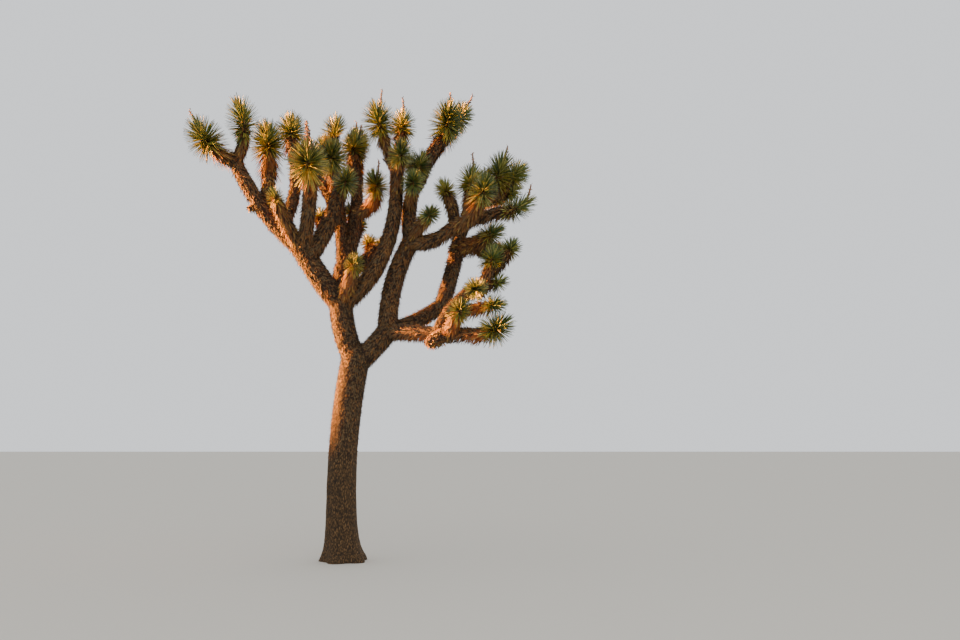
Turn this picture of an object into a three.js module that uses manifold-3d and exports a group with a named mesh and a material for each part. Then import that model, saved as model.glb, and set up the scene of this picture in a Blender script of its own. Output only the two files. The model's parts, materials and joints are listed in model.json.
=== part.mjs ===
// A joshua tree, six metres tall: one leaning trunk, forked limbs clad in dead leaves,
// and a tuft of dagger leaves on each limb's end. Millimetres, X right, Y back, Z up.
// The origin is the middle of the flat cut at ground level.

import * as THREE from 'three';
import { mergeVertices } from 'three/addons/utils/BufferGeometryUtils.js';
import Module from 'manifold-3d';

const wasm = await Module();
wasm.setup();

// Driving sizes
const CLEARANCE = 0.36; // between two pieces that touch
const BURIED = 60; // the foot of the trunk before it is cut off level
const TRUNK_SIDES = 12;
const LIMB_SIDES = 7;
const STEM_SIDES = 5;
const STEM_TAPER = 0.9;
const STEM_SAG = 0.07; // how low the middle of a tuft's stem hangs, as a share of its length
const STEP_LENGTH = 280; // along a limb, from ring to ring
const BLUNTNESS = 0.3; // how far a limb's end bulges, as a share of its radius
const SHAG = 0.04; // unevenness of a limb's coat, as a share of its radius
const ROOT_FLARE = 105; // how far the foot spreads beyond the trunk
const FLARE_HEIGHT = 200; // over which the flare dies away
const BUTTRESSES = 5;
const BUTTRESS_DEPTH = 0.14;

const SMALL_TUFT = 160; // a tuft of less reach has a plainer middle and fewer leaves
const CORE_RADIUS = 0.42; // the dense middle of a tuft, as a share of its reach
const CORE_LENGTH = 0.66;
const DESCENT = 0.34; // how far the lower leaves start down the stem, where a row names nothing else
const LEAF_SHARE = 0.53; // of the faces of the middle that bear a leaf
const LEAF_VARIETY = 0.14;
const LOWEST_LEAF = -0.7; // leaves that would point down along the stem are left out
const TRIAL_LENGTHS = [1, 0.82, 0.66]; // a leaf that has no room is tried shorter, then skipped
const STALK_THICKNESS = [42, 22]; // a dry flower stalk, at its foot and tip
const STALK_SIDES = 5;
const SEED_BUNCH = [65, 130, 65]; // half the size of the bunch of dry seed heads
const BUNCH_BELOW_TIP = 120;

// Limbs: what each grows on and how far along, its tip, how far its middle swings off the
// straight line, and its thickness at both ends. Stubs are what is left of lost limbs.
const LIMBS = [
  { name: 'trunk', root: [0, 0, 0], tip: [120, 0, 2560], swing: [-90, 0, 0], thick: [372, 345] },
  {
    name: 'left_bough', on: 'trunk', at: 0.97,
    tip: [-85, 0, 3230], swing: [-45, 0, 0], thick: [300, 305],
  },
  {
    name: 'right_bough', on: 'trunk', at: 0.95,
    tip: [530, -50, 2870], swing: [10, 0, -20], thick: [290, 270],
  },
  {
    name: 'left_arm', on: 'left_bough', at: 0.97,
    tip: [-570, -150, 3890], swing: [-10, 0, -30], thick: [290, 275],
  },
  {
    name: 'left_arm_upper', on: 'left_arm', at: 0.97,
    tip: [-1410, -350, 5000], swing: [-70, -30, -50], thick: [225, 180],
    stubs: [{ at: 0.5, end: [-160, -30, -10], thick: 120 }],
  },
  {
    name: 'left_front_limb', on: 'left_arm', at: 0.97,
    tip: [-380, -700, 4640], swing: [30, -60, -10], thick: [195, 185],
  },
  {
    name: 'left_rear_limb', on: 'left_arm_upper', at: 0.25,
    tip: [-840, 300, 5420], swing: [110, 40, 0], thick: [165, 160],
  },
  {
    name: 'inner_left_limb', on: 'left_arm', at: 0.86,
    tip: [-105, -180, 4600], swing: [30, 0, -60], thick: [250, 205],
  },
  {
    name: 'rear_bough', on: 'left_bough', at: 0.96,
    tip: [-100, 230, 3700], swing: [-20, 0, -20], thick: [240, 240],
  },
  {
    name: 'rear_left_limb', on: 'rear_bough', at: 0.97,
    tip: [-340, 560, 5120], swing: [40, 20, 0], thick: [190, 180],
  },
  {
    name: 'rear_middle_limb', on: 'rear_bough', at: 0.95,
    tip: [-75, 760, 5340], swing: [110, 20, 20], thick: [215, 150],
  },
  {
    name: 'rear_low_limb', on: 'rear_bough', at: 0.92,
    tip: [230, 860, 4060], swing: [50, 40, -10], thick: [185, 175],
  },
  {
    name: 'centre_limb', on: 'left_bough', at: 0.96,
    tip: [620, -200, 4930], swing: [205, 0, -185], thick: [250, 175],
    stubs: [{ at: 0.98, end: [-175, -50, 150], thick: 50 }],
  },
  {
    name: 'right_arm', on: 'right_bough', at: 0.97,
    tip: [825, 0, 4060], swing: [-85, 10, 20], thick: [265, 235],
  },
  {
    name: 'right_arm_upper', on: 'right_arm', at: 0.97,
    tip: [785, -20, 4530], swing: [-25, 0, 0], thick: [220, 195],
  },
  {
    name: 'top_right_limb', on: 'right_arm_upper', at: 0.96,
    tip: [1190, 480, 5540], swing: [-55, 0, 0], thick: [165, 180],
  },
  {
    name: 'crossing_limb', on: 'right_arm', at: 0.96,
    tip: [1400, -350, 4170], swing: [10, -20, -90], thick: [180, 175],
  },
  {
    name: 'crossing_limb_end', on: 'crossing_limb', at: 0.97,
    tip: [1960, -410, 4305], swing: [0, -10, 0], thick: [160, 150],
  },
  {
    name: 'low_rear_limb', on: 'right_bough', at: 0.97,
    tip: [1210, 350, 3270], swing: [50, 40, -20], thick: [195, 200],
  },
  {
    name: 'low_rear_riser', on: 'low_rear_limb', at: 0.97,
    tip: [1380, 600, 4050], swing: [10, 20, 0], thick: [220, 205],
  },
  {
    name: 'far_right_limb', on: 'low_rear_riser', at: 0.97,
    tip: [1840, 510, 4790], swing: [-90, 40, 60], thick: [195, 180],
  },
  {
    name: 'low_front_limb', on: 'right_bough', at: 0.97,
    tip: [1750, -800, 2735], swing: [60, -60, -15], thick: [180, 150],
    stubs: [{ at: 0.58, end: [-200, -70, -120], thick: 215 }],
  },
  {
    name: 'low_front_riser', on: 'low_front_limb', at: 0.48,
    tip: [1745, -560, 3370], swing: [-60, -40, 60], thick: [165, 165],
  },
  {
    name: 'back_left_limb', on: 'rear_left_limb', at: 0.36,
    tip: [-620, 1150, 5200], swing: [40, 120, 0], thick: [165, 155],
  },
  {
    name: 'back_right_limb', on: 'top_right_limb', at: 0.3,
    tip: [910, 850, 5170], swing: [-20, 60, -20], thick: [165, 155],
  },
];

// Masses of foliage: the limb that each stands on, and its tufts, each with the middle of its
// leaves, their reach, and dry flower stalks as tilt in degrees to the right and length.
const MASSES = [
  {
    name: 'tuft_left_end', on: 'left_arm_upper', at: 0.97, thick: 140,
    tufts: [{
      centre: [-1785, -520, 5280], reach: 255, descent: 0.5, swing: [-50, -20, -20], stalks: [[-29, 330]],
    }],
  },
  {
    name: 'tuft_left_top', on: 'left_arm_upper', at: 0.97, thick: 160,
    tufts: [{ centre: [-1305, -500, 5560], reach: 240, descent: 0.8, swing: [70, 0, -20] }],
  },
  {
    name: 'tuft_left_inner', on: 'left_arm_upper', at: 0.5, thick: 175,
    tufts: [{ centre: [-1050, -150, 5350], reach: 260, swing: [35, 60, -60] }],
  },
  {
    name: 'tuft_left_low', on: 'left_arm', at: 1, thick: 175,
    tufts: [{ centre: [-840, -600, 4470], reach: 130 }],
  },
  {
    name: 'tuft_left_rear', on: 'left_rear_limb', at: 0.97, thick: 150,
    tufts: [{ centre: [-850, 350, 5655], reach: 232 }],
  },
  {
    name: 'tuft_left_front', on: 'left_front_limb', at: 0.97, thick: 170,
    tufts: [{ centre: [-370, -1000, 4815], reach: 275, stalks: [[-2, 460, 'seeds']] }],
  },
  {
    name: 'tuft_inner_left', on: 'inner_left_limb', at: 0.97, thick: 170,
    tufts: [{ centre: [5, -340, 4750], reach: 190, swing: [0, 50, -20] }],
  },
  {
    name: 'tuft_behind_inner_left', on: 'inner_left_limb', at: 0.45, thick: 120,
    tufts: [{ centre: [-430, 300, 4430], reach: 135 }],
  },
  {
    name: 'tufts_rear_left', on: 'rear_left_limb', at: 0.97, thick: 150,
    tufts: [
      { centre: [-310, 700, 5770], reach: 218, descent: 0.6 },
      { centre: [-300, 330, 5270], reach: 250, fork: 0.1 },
    ],
  },
  {
    name: 'tuft_rear_middle', on: 'rear_middle_limb', at: 0.97, thick: 170,
    tufts: [{ centre: [-60, 800, 5580], reach: 245, stalks: [[5, 290], [22, 260]] }],
  },
  {
    name: 'tuft_rear_side', on: 'rear_middle_limb', at: 0.47, thick: 170,
    tufts: [{ centre: [318, 120, 4830], reach: 205, swing: [100, 0, -45], stalks: [[8, 300]] }],
  },
  {
    name: 'tufts_rear_low', on: 'rear_middle_limb', at: 0.25, thick: 120,
    tufts: [
      { centre: [15, 1000, 4450], reach: 125 },
      { centre: [-120, 900, 4650], reach: 135, fork: 0.5 },
    ],
  },
  {
    name: 'tufts_rear_foot', on: 'rear_low_limb', at: 0.97, thick: 130,
    tufts: [
      { centre: [120, 1120, 4240], reach: 140 },
      { centre: [320, 960, 4180], reach: 135, fork: 0.1 },
    ],
  },
  {
    name: 'tuft_fork', on: 'left_bough', at: 0.99, thick: 190,
    tufts: [{ centre: [130, -350, 3690], reach: 150 }],
  },
  {
    name: 'tuft_centre_top', on: 'centre_limb', at: 0.97, thick: 140,
    tufts: [{ centre: [388, -350, 5545], reach: 245, swing: [0, 70, -50], stalks: [[8, 365]] }],
  },
  {
    name: 'tuft_centre_rear', on: 'centre_limb', at: 0.97, thick: 125,
    tufts: [{ centre: [668, 50, 5620], reach: 202, stalks: [[0, 325]] }],
  },
  {
    name: 'tuft_centre_front', on: 'centre_limb', at: 0.85, thick: 140,
    tufts: [{ centre: [710, -550, 5050], reach: 192, swing: [0, 40, -40] }],
  },
  {
    name: 'tuft_right_upper', on: 'right_arm_upper', at: 0.97, thick: 140,
    tufts: [{ centre: [930, -250, 4985], reach: 188 }],
  },
  {
    name: 'tuft_right_front', on: 'right_arm_upper', at: 0.9, thick: 140,
    tufts: [{ centre: [860, -500, 4690], reach: 165 }],
  },
  {
    name: 'tuft_right_low', on: 'right_arm', at: 0.99, thick: 155,
    tufts: [{ centre: [1080, -450, 4270], reach: 145, swing: [-20, 0, 20] }],
  },
  {
    name: 'tufts_top_right', on: 'top_right_limb', at: 0.97, thick: 150,
    tufts: [
      { centre: [1262, 300, 5785], reach: 262, swing: [0, 70, -40], stalks: [[4, 320]] },
      { centre: [1425, 700, 5945], reach: 215, fork: 0.3, stalks: [[30, 320]] },
    ],
  },
  {
    name: 'tuft_crossing_inner', on: 'crossing_limb', at: 0.95, thick: 160,
    tufts: [{ centre: [1230, -200, 4670], reach: 158, swing: [30, 0, -10] }],
  },
  {
    name: 'tufts_crossing_middle', on: 'crossing_limb', at: 0.97, thick: 160,
    tufts: [
      { centre: [1740, -800, 4520], reach: 205, swing: [20, -20, -100] },
      { centre: [1582, -450, 4730], reach: 207, fork: 0.3, stalks: [[2, 315]] },
    ],
  },
  {
    name: 'tuft_crossing_end', on: 'crossing_limb_end', at: 0.97, thick: 150,
    tufts: [{ centre: [2240, -400, 4400], reach: 188, descent: 0.9, stalks: [[18, 270]] }],
  },
  {
    name: 'tufts_far_right', on: 'far_right_limb', at: 0.97, thick: 150,
    tufts: [
      { centre: [1970, 450, 5125], reach: 252, descent: 0.5, stalks: [[17, 310]] },
      { centre: [2190, 700, 5110], reach: 225, fork: 0.2 },
    ],
  },
  {
    name: 'tufts_right_rear', on: 'low_rear_riser', at: 0.98, thick: 225,
    tufts: [
      { centre: [1875, 550, 4250], reach: 195 },
      { centre: [2000, 900, 4070], reach: 150, fork: 0.5 },
    ],
  },
  {
    name: 'tufts_riser_end', on: 'low_front_riser', at: 0.97, thick: 150,
    tufts: [
      { centre: [1850, -550, 3735], reach: 178 },
      { centre: [2085, -200, 3905], reach: 156, fork: 0.5 },
    ],
  },
  {
    name: 'tufts_riser_side', on: 'low_front_riser', at: 0.97, thick: 120,
    tufts: [
      { centre: [1930, -500, 3410], reach: 140 },
      { centre: [1620, -850, 3265], reach: 163, fork: 0.1 },
    ],
  },
  {
    name: 'tuft_low_inner', on: 'low_front_limb', at: 0.57, thick: 175,
    tufts: [{ centre: [1455, -900, 3035], reach: 165 }],
  },
  {
    name: 'tuft_low_upper', on: 'low_front_riser', at: 0.3, thick: 125,
    tufts: [{ centre: [1875, -750, 3090], reach: 160, swing: [0, 0, 10] }],
  },
  {
    name: 'tuft_low_end', on: 'low_front_limb', at: 0.97, thick: 150,
    tufts: [{ centre: [1915, -900, 2815], reach: 215 }],
  },
  {
    name: 'tufts_back_left', on: 'back_left_limb', at: 0.97, thick: 140,
    tufts: [
      { centre: [-590, 1500, 5740], reach: 205 },
      { centre: [-900, 1300, 5620], reach: 190, fork: 0.1 },
    ],
  },
  {
    name: 'tuft_back_middle', on: 'rear_middle_limb', at: 0.72, thick: 140,
    tufts: [{ centre: [-80, 1500, 5840], reach: 180 }],
  },
  {
    name: 'tufts_back_right', on: 'back_right_limb', at: 0.97, thick: 140,
    tufts: [
      { centre: [700, 1200, 5400], reach: 175 },
      { centre: [1250, 1080, 5880], reach: 190, fork: 0.2 },
    ],
  },
  {
    name: 'tufts_back_far_right', on: 'far_right_limb', at: 0.5, thick: 140,
    tufts: [
      { centre: [1790, 1150, 5140], reach: 210 },
      { centre: [2130, 1300, 5030], reach: 200, fork: 0.45 },
    ],
  },
];

const vector = (place) => new THREE.Vector3(...place);

// A seeded row of numbers from 0 to 1, so that each run grows the same tree
function seededRandom(text) {
  let state = 2166136261;
  for (const letter of text) state = Math.imul(state ^ letter.charCodeAt(0), 16777619);
  return () => {
    state = (state + 0x6d2b79f5) | 0;
    let mixed = Math.imul(state ^ (state >>> 15), 1 | state);
    mixed = (mixed + Math.imul(mixed ^ (mixed >>> 7), 61 | mixed)) ^ mixed;
    return ((mixed ^ (mixed >>> 14)) >>> 0) / 4294967296;
  };
}

// Limbs as curves

// A limb's line: straight from root to tip but for its middle, which swings aside
function limbCurve(root, tip, swing) {
  const bend = root.clone().add(tip).multiplyScalar(0.5).addScaledVector(swing, 2);
  return new THREE.QuadraticBezierCurve3(root, bend, tip);
}

// A direction square to the whole curve, which never twists because the curve lies in a plane
function squareTo(curve) {
  const chord = curve.v2.clone().sub(curve.v0);
  const normal = chord.clone().cross(curve.v1.clone().sub(curve.v0));
  if (normal.length() < 1e-3 * chord.lengthSq()) normal.crossVectors(chord, new THREE.Vector3(0, 1, 0.01));
  return normal.normalize();
}

// A cylinder bent along a limb's line, with a blunt end. grow makes it thicker and longer.
function limbGeometry(limb, sides, grow = 0) {
  const length = limb.curve.getLength();
  const steps = Math.max(2, Math.round(length / STEP_LENGTH));
  const geometry = new THREE.CylinderGeometry(1, 1, 1, sides, steps);
  const random = seededRandom(limb.name);
  const shag = Array.from({ length: sides * (steps + 1) }, () => 1 + SHAG * (2 * random() - 1));
  const normal = squareTo(limb.curve);
  const point = geometry.attributes.position;
  for (let i = 0; i < point.count; i++) {
    const along = point.getY(i) + 0.5;
    const away = Math.hypot(point.getX(i), point.getZ(i));
    const turn = Math.atan2(point.getX(i), point.getZ(i));
    const ring = Math.round(along * steps);
    const side = (Math.round((turn / (2 * Math.PI)) * sides) + sides) % sides;
    const tangent = limb.curve.getTangent(along);
    const across = new THREE.Vector3().crossVectors(normal, tangent);
    const radius = limb.radius(along, turn) * shag[ring * sides + side] + grow;
    const place = limb.curve.getPoint(along);
    place.addScaledVector(normal, away > 0 ? Math.sin(turn) * radius : 0);
    place.addScaledVector(across, away > 0 ? Math.cos(turn) * radius : 0);
    if (ring === 0) place.addScaledVector(tangent, -grow);
    if (ring === steps) place.addScaledVector(tangent, grow);
    if (ring === steps && away === 0) place.addScaledVector(tangent, BLUNTNESS * radius);
    point.setXYZ(i, place.x, place.y, place.z);
  }
  return geometry;
}

function taper(thick) {
  return (along) => (thick[0] + (thick[1] - thick[0]) * along) / 2;
}

function trunkRadius(trunk) {
  const plain = taper(trunk.thick);
  const height = trunk.tip[2];
  return (along, turn) => {
    const flare = Math.exp((-along * height) / FLARE_HEIGHT);
    const buttress = 1 + BUTTRESS_DEPTH * flare * Math.cos(BUTTRESSES * turn);
    return (plain(along) + ROOT_FLARE * flare) * buttress;
  };
}

// Solids

function solid(geometry) {
  const bare = geometry.index ? geometry.clone() : geometry;
  bare.deleteAttribute('normal');
  bare.deleteAttribute('uv');
  const merged = mergeVertices(bare, 1e-3);
  return new wasm.Manifold(new wasm.Mesh({
    numProp: 3,
    vertProperties: new Float32Array(merged.attributes.position.array),
    triVerts: new Uint32Array(merged.index.array),
  }));
}

function largestBody(manifold) {
  const bodies = manifold.decompose();
  return bodies.reduce((best, body) => (body.volume() > best.volume() ? body : best));
}

// Cuts a piece clear of those that stand already
function cutClear(piece, others) {
  const box = piece.boundingBox();
  const near = others.filter((other) => {
    const its = other.boundingBox();
    return [0, 1, 2].every((k) => its.min[k] < box.max[k] && its.max[k] > box.min[k]);
  });
  return largestBody(near.reduce((rest, other) => rest.subtract(other), piece));
}

function geometryOf(manifold) {
  const mesh = manifold.getMesh();
  const geometry = new THREE.BufferGeometry();
  const place = new Float32Array(mesh.numVert * 3);
  for (let i = 0; i < mesh.numVert; i++) {
    for (let k = 0; k < 3; k++) place[3 * i + k] = mesh.vertProperties[i * mesh.numProp + k];
  }
  geometry.setAttribute('position', new THREE.BufferAttribute(place, 3));
  geometry.setIndex(new THREE.BufferAttribute(new Uint32Array(mesh.triVerts), 1));
  geometry.computeVertexNormals();
  return geometry;
}

// Growing the limbs

const limbs = new Map();
const grown = []; // every limb and stem, a little larger, to cut its neighbours clear

function growLimb(row) {
  const parent = limbs.get(row.on);
  const root = parent ? parent.curve.getPoint(row.at) : vector(row.root);
  const limb = { ...row, curve: limbCurve(root, vector(row.tip), vector(row.swing)) };
  limb.radius = parent ? taper(row.thick) : trunkRadius(row);
  limbs.set(row.name, limb);
  return limb;
}

function stubOf(limb, row) {
  const root = limb.curve.getPoint(row.at);
  const tip = root.clone().add(vector(row.end));
  const curve = limbCurve(root, tip, new THREE.Vector3());
  return { name: `${limb.name}_stub`, curve, radius: taper([row.thick, 0.8 * row.thick]) };
}

function limbWithStubs(limb, sides, grow) {
  const stubs = (limb.stubs ?? []).map((row) => solid(limbGeometry(stubOf(limb, row), STEM_SIDES, grow)));
  return stubs.reduce((whole, stub) => whole.add(stub), solid(limbGeometry(limb, sides, grow)));
}

// Everything below ground level, which leaves the trunk its flat cut
function ground() {
  const size = 4000;
  return solid(new THREE.BoxGeometry(size, size, size).translate(0, 0, -size / 2));
}

function trunkSolid(trunk, sides, grow) {
  const foot = trunk.curve.getTangent(0).multiplyScalar(-BURIED);
  trunk.curve.v0.add(foot);
  const whole = limbWithStubs(trunk, sides, grow);
  trunk.curve.v0.sub(foot);
  return whole.subtract(ground());
}

function limbSolid(limb) {
  const isTrunk = !limb.on;
  const make = isTrunk ? trunkSolid : limbWithStubs;
  const sides = isTrunk ? TRUNK_SIDES : LIMB_SIDES;
  const piece = cutClear(make(limb, sides, 0), grown);
  grown.push(make(limb, sides, CLEARANCE));
  return piece;
}

// Growing the foliage

// A short limb from the bough to a tuft, which rises towards its end
function growStem(root, tuft, thick, name, owner) {
  const tip = vector(tuft.centre);
  const swing = vector(tuft.swing ?? [0, 0, -STEM_SAG * root.distanceTo(tip)]);
  const curve = limbCurve(root, tip, swing);
  return { name, owner, curve, radius: taper([thick, STEM_TAPER * thick]) };
}

function growMass(row) {
  const bough = limbs.get(row.on);
  const stems = [];
  row.tufts.forEach((tuft, i) => {
    const root = i === 0 ? bough.curve.getPoint(row.at) : stems[0].curve.getPoint(tuft.fork);
    const thick = i === 0 ? row.thick : STEM_TAPER * row.thick;
    stems.push(growStem(root, tuft, thick, `${row.name}_${i}`, row.name));
  });
  const tufts = row.tufts.map((tuft, i) => ({
    descent: DESCENT,
    ...tuft,
    mass: row.name,
    middle: vector(tuft.centre),
    axis: stems[i].curve.getTangent(1),
  }));
  return { ...row, stems, tufts };
}

// A tuft's own axes: its stem's direction is up
function turnOf(tuft) {
  return new THREE.Quaternion().setFromUnitVectors(new THREE.Vector3(0, 1, 0), tuft.axis);
}

// Where a point of the unit sphere lies on the tuft's dense middle
function onCore(tuft, point) {
  const place = point.clone().multiplyScalar(CORE_RADIUS * tuft.reach);
  const length = CORE_LENGTH + 0.8 * (tuft.descent - DESCENT);
  place.y = (length * point.y - 0.8 * tuft.descent) * tuft.reach;
  return place.applyQuaternion(turnOf(tuft)).add(tuft.middle);
}

// Where a leaf that points along the unit vector aim ends. The lower ones start further down.
function leafTip(tuft, aim, share) {
  const place = aim.clone().multiplyScalar(share * tuft.reach);
  place.y -= tuft.descent * (1 - aim.y) * tuft.reach;
  return place.applyQuaternion(turnOf(tuft)).add(tuft.middle);
}

// The part of space nearer to this tuft than to any tuft of another mass, allowing for size
function inOwnSpace(corner, tuft, allTufts) {
  const own = corner.distanceToSquared(tuft.middle) - tuft.reach ** 2;
  return allTufts.every((other) => {
    if (other.mass === tuft.mass) return true;
    const its = corner.distanceToSquared(other.middle) - other.reach ** 2;
    const apart = tuft.middle.distanceTo(other.middle);
    return (its - own) / (2 * apart) > CLEARANCE;
  });
}

function clearOfLimbs(root, tip, halfWidth, lines) {
  const samples = 6;
  for (let k = 1; k <= samples; k++) {
    const spot = root.clone().lerp(tip, k / samples);
    const room = halfWidth * (1 - k / samples) + 2 * CLEARANCE;
    if (lines.some((line) => spot.distanceTo(line.place) < line.radius * (1 + SHAG) + room)) return false;
  }
  return true;
}

// The tip of the leaf that stands on this face of the core, shorter if it has little room,
// or nothing if it has none
function fittedTip(tuft, face, random, allTufts, lines) {
  const aim = face.reduce((sum, corner) => sum.add(corner), new THREE.Vector3()).normalize();
  const full = 1 - LEAF_VARIETY * random();
  if (random() > LEAF_SHARE || aim.y < LOWEST_LEAF) return null;
  const corners = face.map((corner) => onCore(tuft, corner));
  const root = corners.reduce((sum, corner) => sum.add(corner), new THREE.Vector3()).divideScalar(3);
  const halfWidth = root.distanceTo(corners[0]);
  const tips = TRIAL_LENGTHS.map((trial) => leafTip(tuft, aim, trial * full));
  return tips.find((tip) => {
    return inOwnSpace(tip, tuft, allTufts) && clearOfLimbs(root, tip, halfWidth, lines);
  });
}

// A tuft: a dense middle of many faces, and a dagger leaf raised on most of them
function tuftSolid(tuft, allTufts, lines) {
  const random = seededRandom(tuft.mass + tuft.reach);
  const sphere = new THREE.IcosahedronGeometry(1, tuft.reach < SMALL_TUFT ? 0 : 1);
  const spots = cornersOf(sphere);
  const outline = [];
  for (let i = 0; i < spots.length; i += 3) {
    const face = spots.slice(i, i + 3);
    const tip = fittedTip(tuft, face, random, allTufts, lines);
    const [a, b, c] = face.map((corner) => onCore(tuft, corner));
    outline.push(...(tip ? [a, b, tip, b, c, tip, c, a, tip] : [a, b, c]));
  }
  return solid(new THREE.BufferGeometry().setFromPoints(outline));
}

function cornersOf(geometry) {
  const point = geometry.attributes.position;
  return Array.from({ length: point.count }, (_, i) => new THREE.Vector3().fromBufferAttribute(point, i));
}

// A dry flower stalk, and on one tuft the bunch of dry seed heads that it still bears
function stalkSolid(tuft, [tilt, length, load]) {
  const angle = THREE.MathUtils.degToRad(tilt);
  const up = new THREE.Vector3(Math.sin(angle), 0, Math.cos(angle));
  const turn = new THREE.Quaternion().setFromUnitVectors(new THREE.Vector3(0, 1, 0), up);
  const place = new THREE.Matrix4().makeRotationFromQuaternion(turn).setPosition(tuft.middle);
  const [foot, tip] = STALK_THICKNESS;
  const rod = new THREE.CylinderGeometry(tip / 2, foot / 2, length, STALK_SIDES, 1);
  const stalk = solid(rod.translate(0, length / 2, 0).applyMatrix4(place));
  if (load !== 'seeds') return stalk;
  const bunch = new THREE.IcosahedronGeometry(1, 0).scale(...SEED_BUNCH);
  return stalk.add(solid(bunch.translate(0, length - BUNCH_BELOW_TIP, 0).applyMatrix4(place)));
}

// Points along a limb or stem, with its radius there, that leaves keep clear of
function lineOf(limb) {
  const count = Math.ceil(limb.curve.getLength() / 40);
  return Array.from({ length: count + 1 }, (_, i) => ({
    place: limb.curve.getPoint(i / count),
    radius: limb.radius(i / count, 0),
    owner: limb.owner,
  }));
}

function massSolid(mass, allTufts, lines) {
  const foreign = lines.filter((line) => line.owner !== mass.name);
  const parts = mass.stems.map((stem) => solid(limbGeometry(stem, STEM_SIDES)));
  for (const tuft of mass.tufts) {
    parts.push(tuftSolid(tuft, allTufts, foreign));
    parts.push(...(tuft.stalks ?? []).map((stalk) => stalkSolid(tuft, stalk)));
  }
  const whole = cutClear(parts.reduce((sum, piece) => sum.add(piece)), grown);
  for (const stem of mass.stems) grown.push(solid(limbGeometry(stem, STEM_SIDES, CLEARANCE)));
  return whole;
}

// Materials
const bark = { color: 0x6d5540, roughness: 0.95, metalness: 0 };
const shag = { color: 0x7a5b3c, roughness: 0.95, metalness: 0 };
const leaf = { color: 0x6f7a4a, roughness: 0.6, metalness: 0 };

function namedMesh(name, manifold, look) {
  const mesh = new THREE.Mesh(geometryOf(manifold), new THREE.MeshStandardMaterial(look));
  mesh.name = name;
  return mesh;
}

// The tree
const tree = new THREE.Group();
for (const row of LIMBS) {
  const limb = growLimb(row);
  tree.add(namedMesh(limb.name, limbSolid(limb), limb.on ? shag : bark));
}
const masses = MASSES.map(growMass);
const allTufts = masses.flatMap((mass) => mass.tufts);
const lines = [...limbs.values(), ...masses.flatMap((mass) => mass.stems)].flatMap(lineOf);
for (const mass of masses) {
  tree.add(namedMesh(mass.name, massSolid(mass, allTufts, lines), leaf));
}

export default tree;
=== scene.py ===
# %% [markdown]
# A joshua tree, six metres tall, finished leaf by leaf.
#
# The real plant has very few kinds of part. A corky trunk forks into thick limbs. Each limb is clad in
# its own dead leaves, which fold back and hang on for decades. Each limb's end bears one ball of stiff
# dagger leaves, and some balls bear the dry stalk of an old flower. So this lesson makes four things:
# the bark, the coat of dead leaves, the live leaves and the stalks. The CAD frame gives the size.

import json
import math

import bmesh
import bpy
import numpy as np
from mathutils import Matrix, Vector

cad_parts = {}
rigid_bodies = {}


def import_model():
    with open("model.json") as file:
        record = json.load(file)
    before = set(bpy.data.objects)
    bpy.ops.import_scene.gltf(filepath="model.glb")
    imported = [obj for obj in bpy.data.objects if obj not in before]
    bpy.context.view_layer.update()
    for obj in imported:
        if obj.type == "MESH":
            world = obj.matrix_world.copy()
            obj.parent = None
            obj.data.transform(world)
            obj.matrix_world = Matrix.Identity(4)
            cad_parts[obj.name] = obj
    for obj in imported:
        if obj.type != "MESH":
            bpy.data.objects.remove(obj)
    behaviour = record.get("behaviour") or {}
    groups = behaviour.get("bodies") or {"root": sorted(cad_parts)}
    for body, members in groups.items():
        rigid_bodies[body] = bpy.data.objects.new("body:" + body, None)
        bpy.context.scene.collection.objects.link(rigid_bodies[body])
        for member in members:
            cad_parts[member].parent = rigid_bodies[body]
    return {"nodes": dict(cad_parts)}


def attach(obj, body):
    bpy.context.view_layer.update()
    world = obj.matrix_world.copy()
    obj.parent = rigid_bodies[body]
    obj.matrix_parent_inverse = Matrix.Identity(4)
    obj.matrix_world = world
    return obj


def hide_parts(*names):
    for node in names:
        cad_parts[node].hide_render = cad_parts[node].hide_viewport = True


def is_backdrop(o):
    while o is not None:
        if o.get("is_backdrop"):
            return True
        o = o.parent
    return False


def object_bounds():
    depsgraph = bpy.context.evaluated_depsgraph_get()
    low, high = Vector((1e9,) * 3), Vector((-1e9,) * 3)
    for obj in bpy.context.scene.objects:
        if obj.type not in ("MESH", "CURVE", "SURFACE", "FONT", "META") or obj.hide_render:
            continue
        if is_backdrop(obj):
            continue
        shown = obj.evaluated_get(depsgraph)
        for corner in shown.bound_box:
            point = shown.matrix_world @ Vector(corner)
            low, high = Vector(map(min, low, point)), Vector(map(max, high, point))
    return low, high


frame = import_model()
CAD_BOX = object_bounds()
print("CAD box", [round(side, 3) for side in CAD_BOX[1] - CAD_BOX[0]], "nodes", len(frame["nodes"]))

# %% [markdown]
# Blender's shaders work in linear light, while colours are given as sRGB hex values. One function
# turns one into the other. Another adds a node to a tree, sets it, links it and gives back its output, so
# that every tree below reads as a list of steps. It serves shader nodes and Geometry Nodes alike.

# %% Helpers for nodes and colours
def linear(hex_colour):
    channels = [int(hex_colour[i:i + 2], 16) / 255 for i in (1, 3, 5)]
    light = [c / 12.92 if c <= 0.04045 else ((c + 0.055) / 1.055) ** 2.4 for c in channels]
    return (*light, 1)


def add(tree, kind, inputs=(), **settings):
    """Adds a node with its settings and links, and returns the first of its outputs that is in use."""
    node = tree.nodes.new(kind)
    for name, value in settings.items():
        setattr(node, name, value)
    for key, value in dict(inputs).items():
        if isinstance(value, bpy.types.NodeSocket):
            tree.links.new(value, node.inputs[key])
        else:
            node.inputs[key].default_value = value
    return next((socket for socket in node.outputs if socket.enabled), node)


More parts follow.
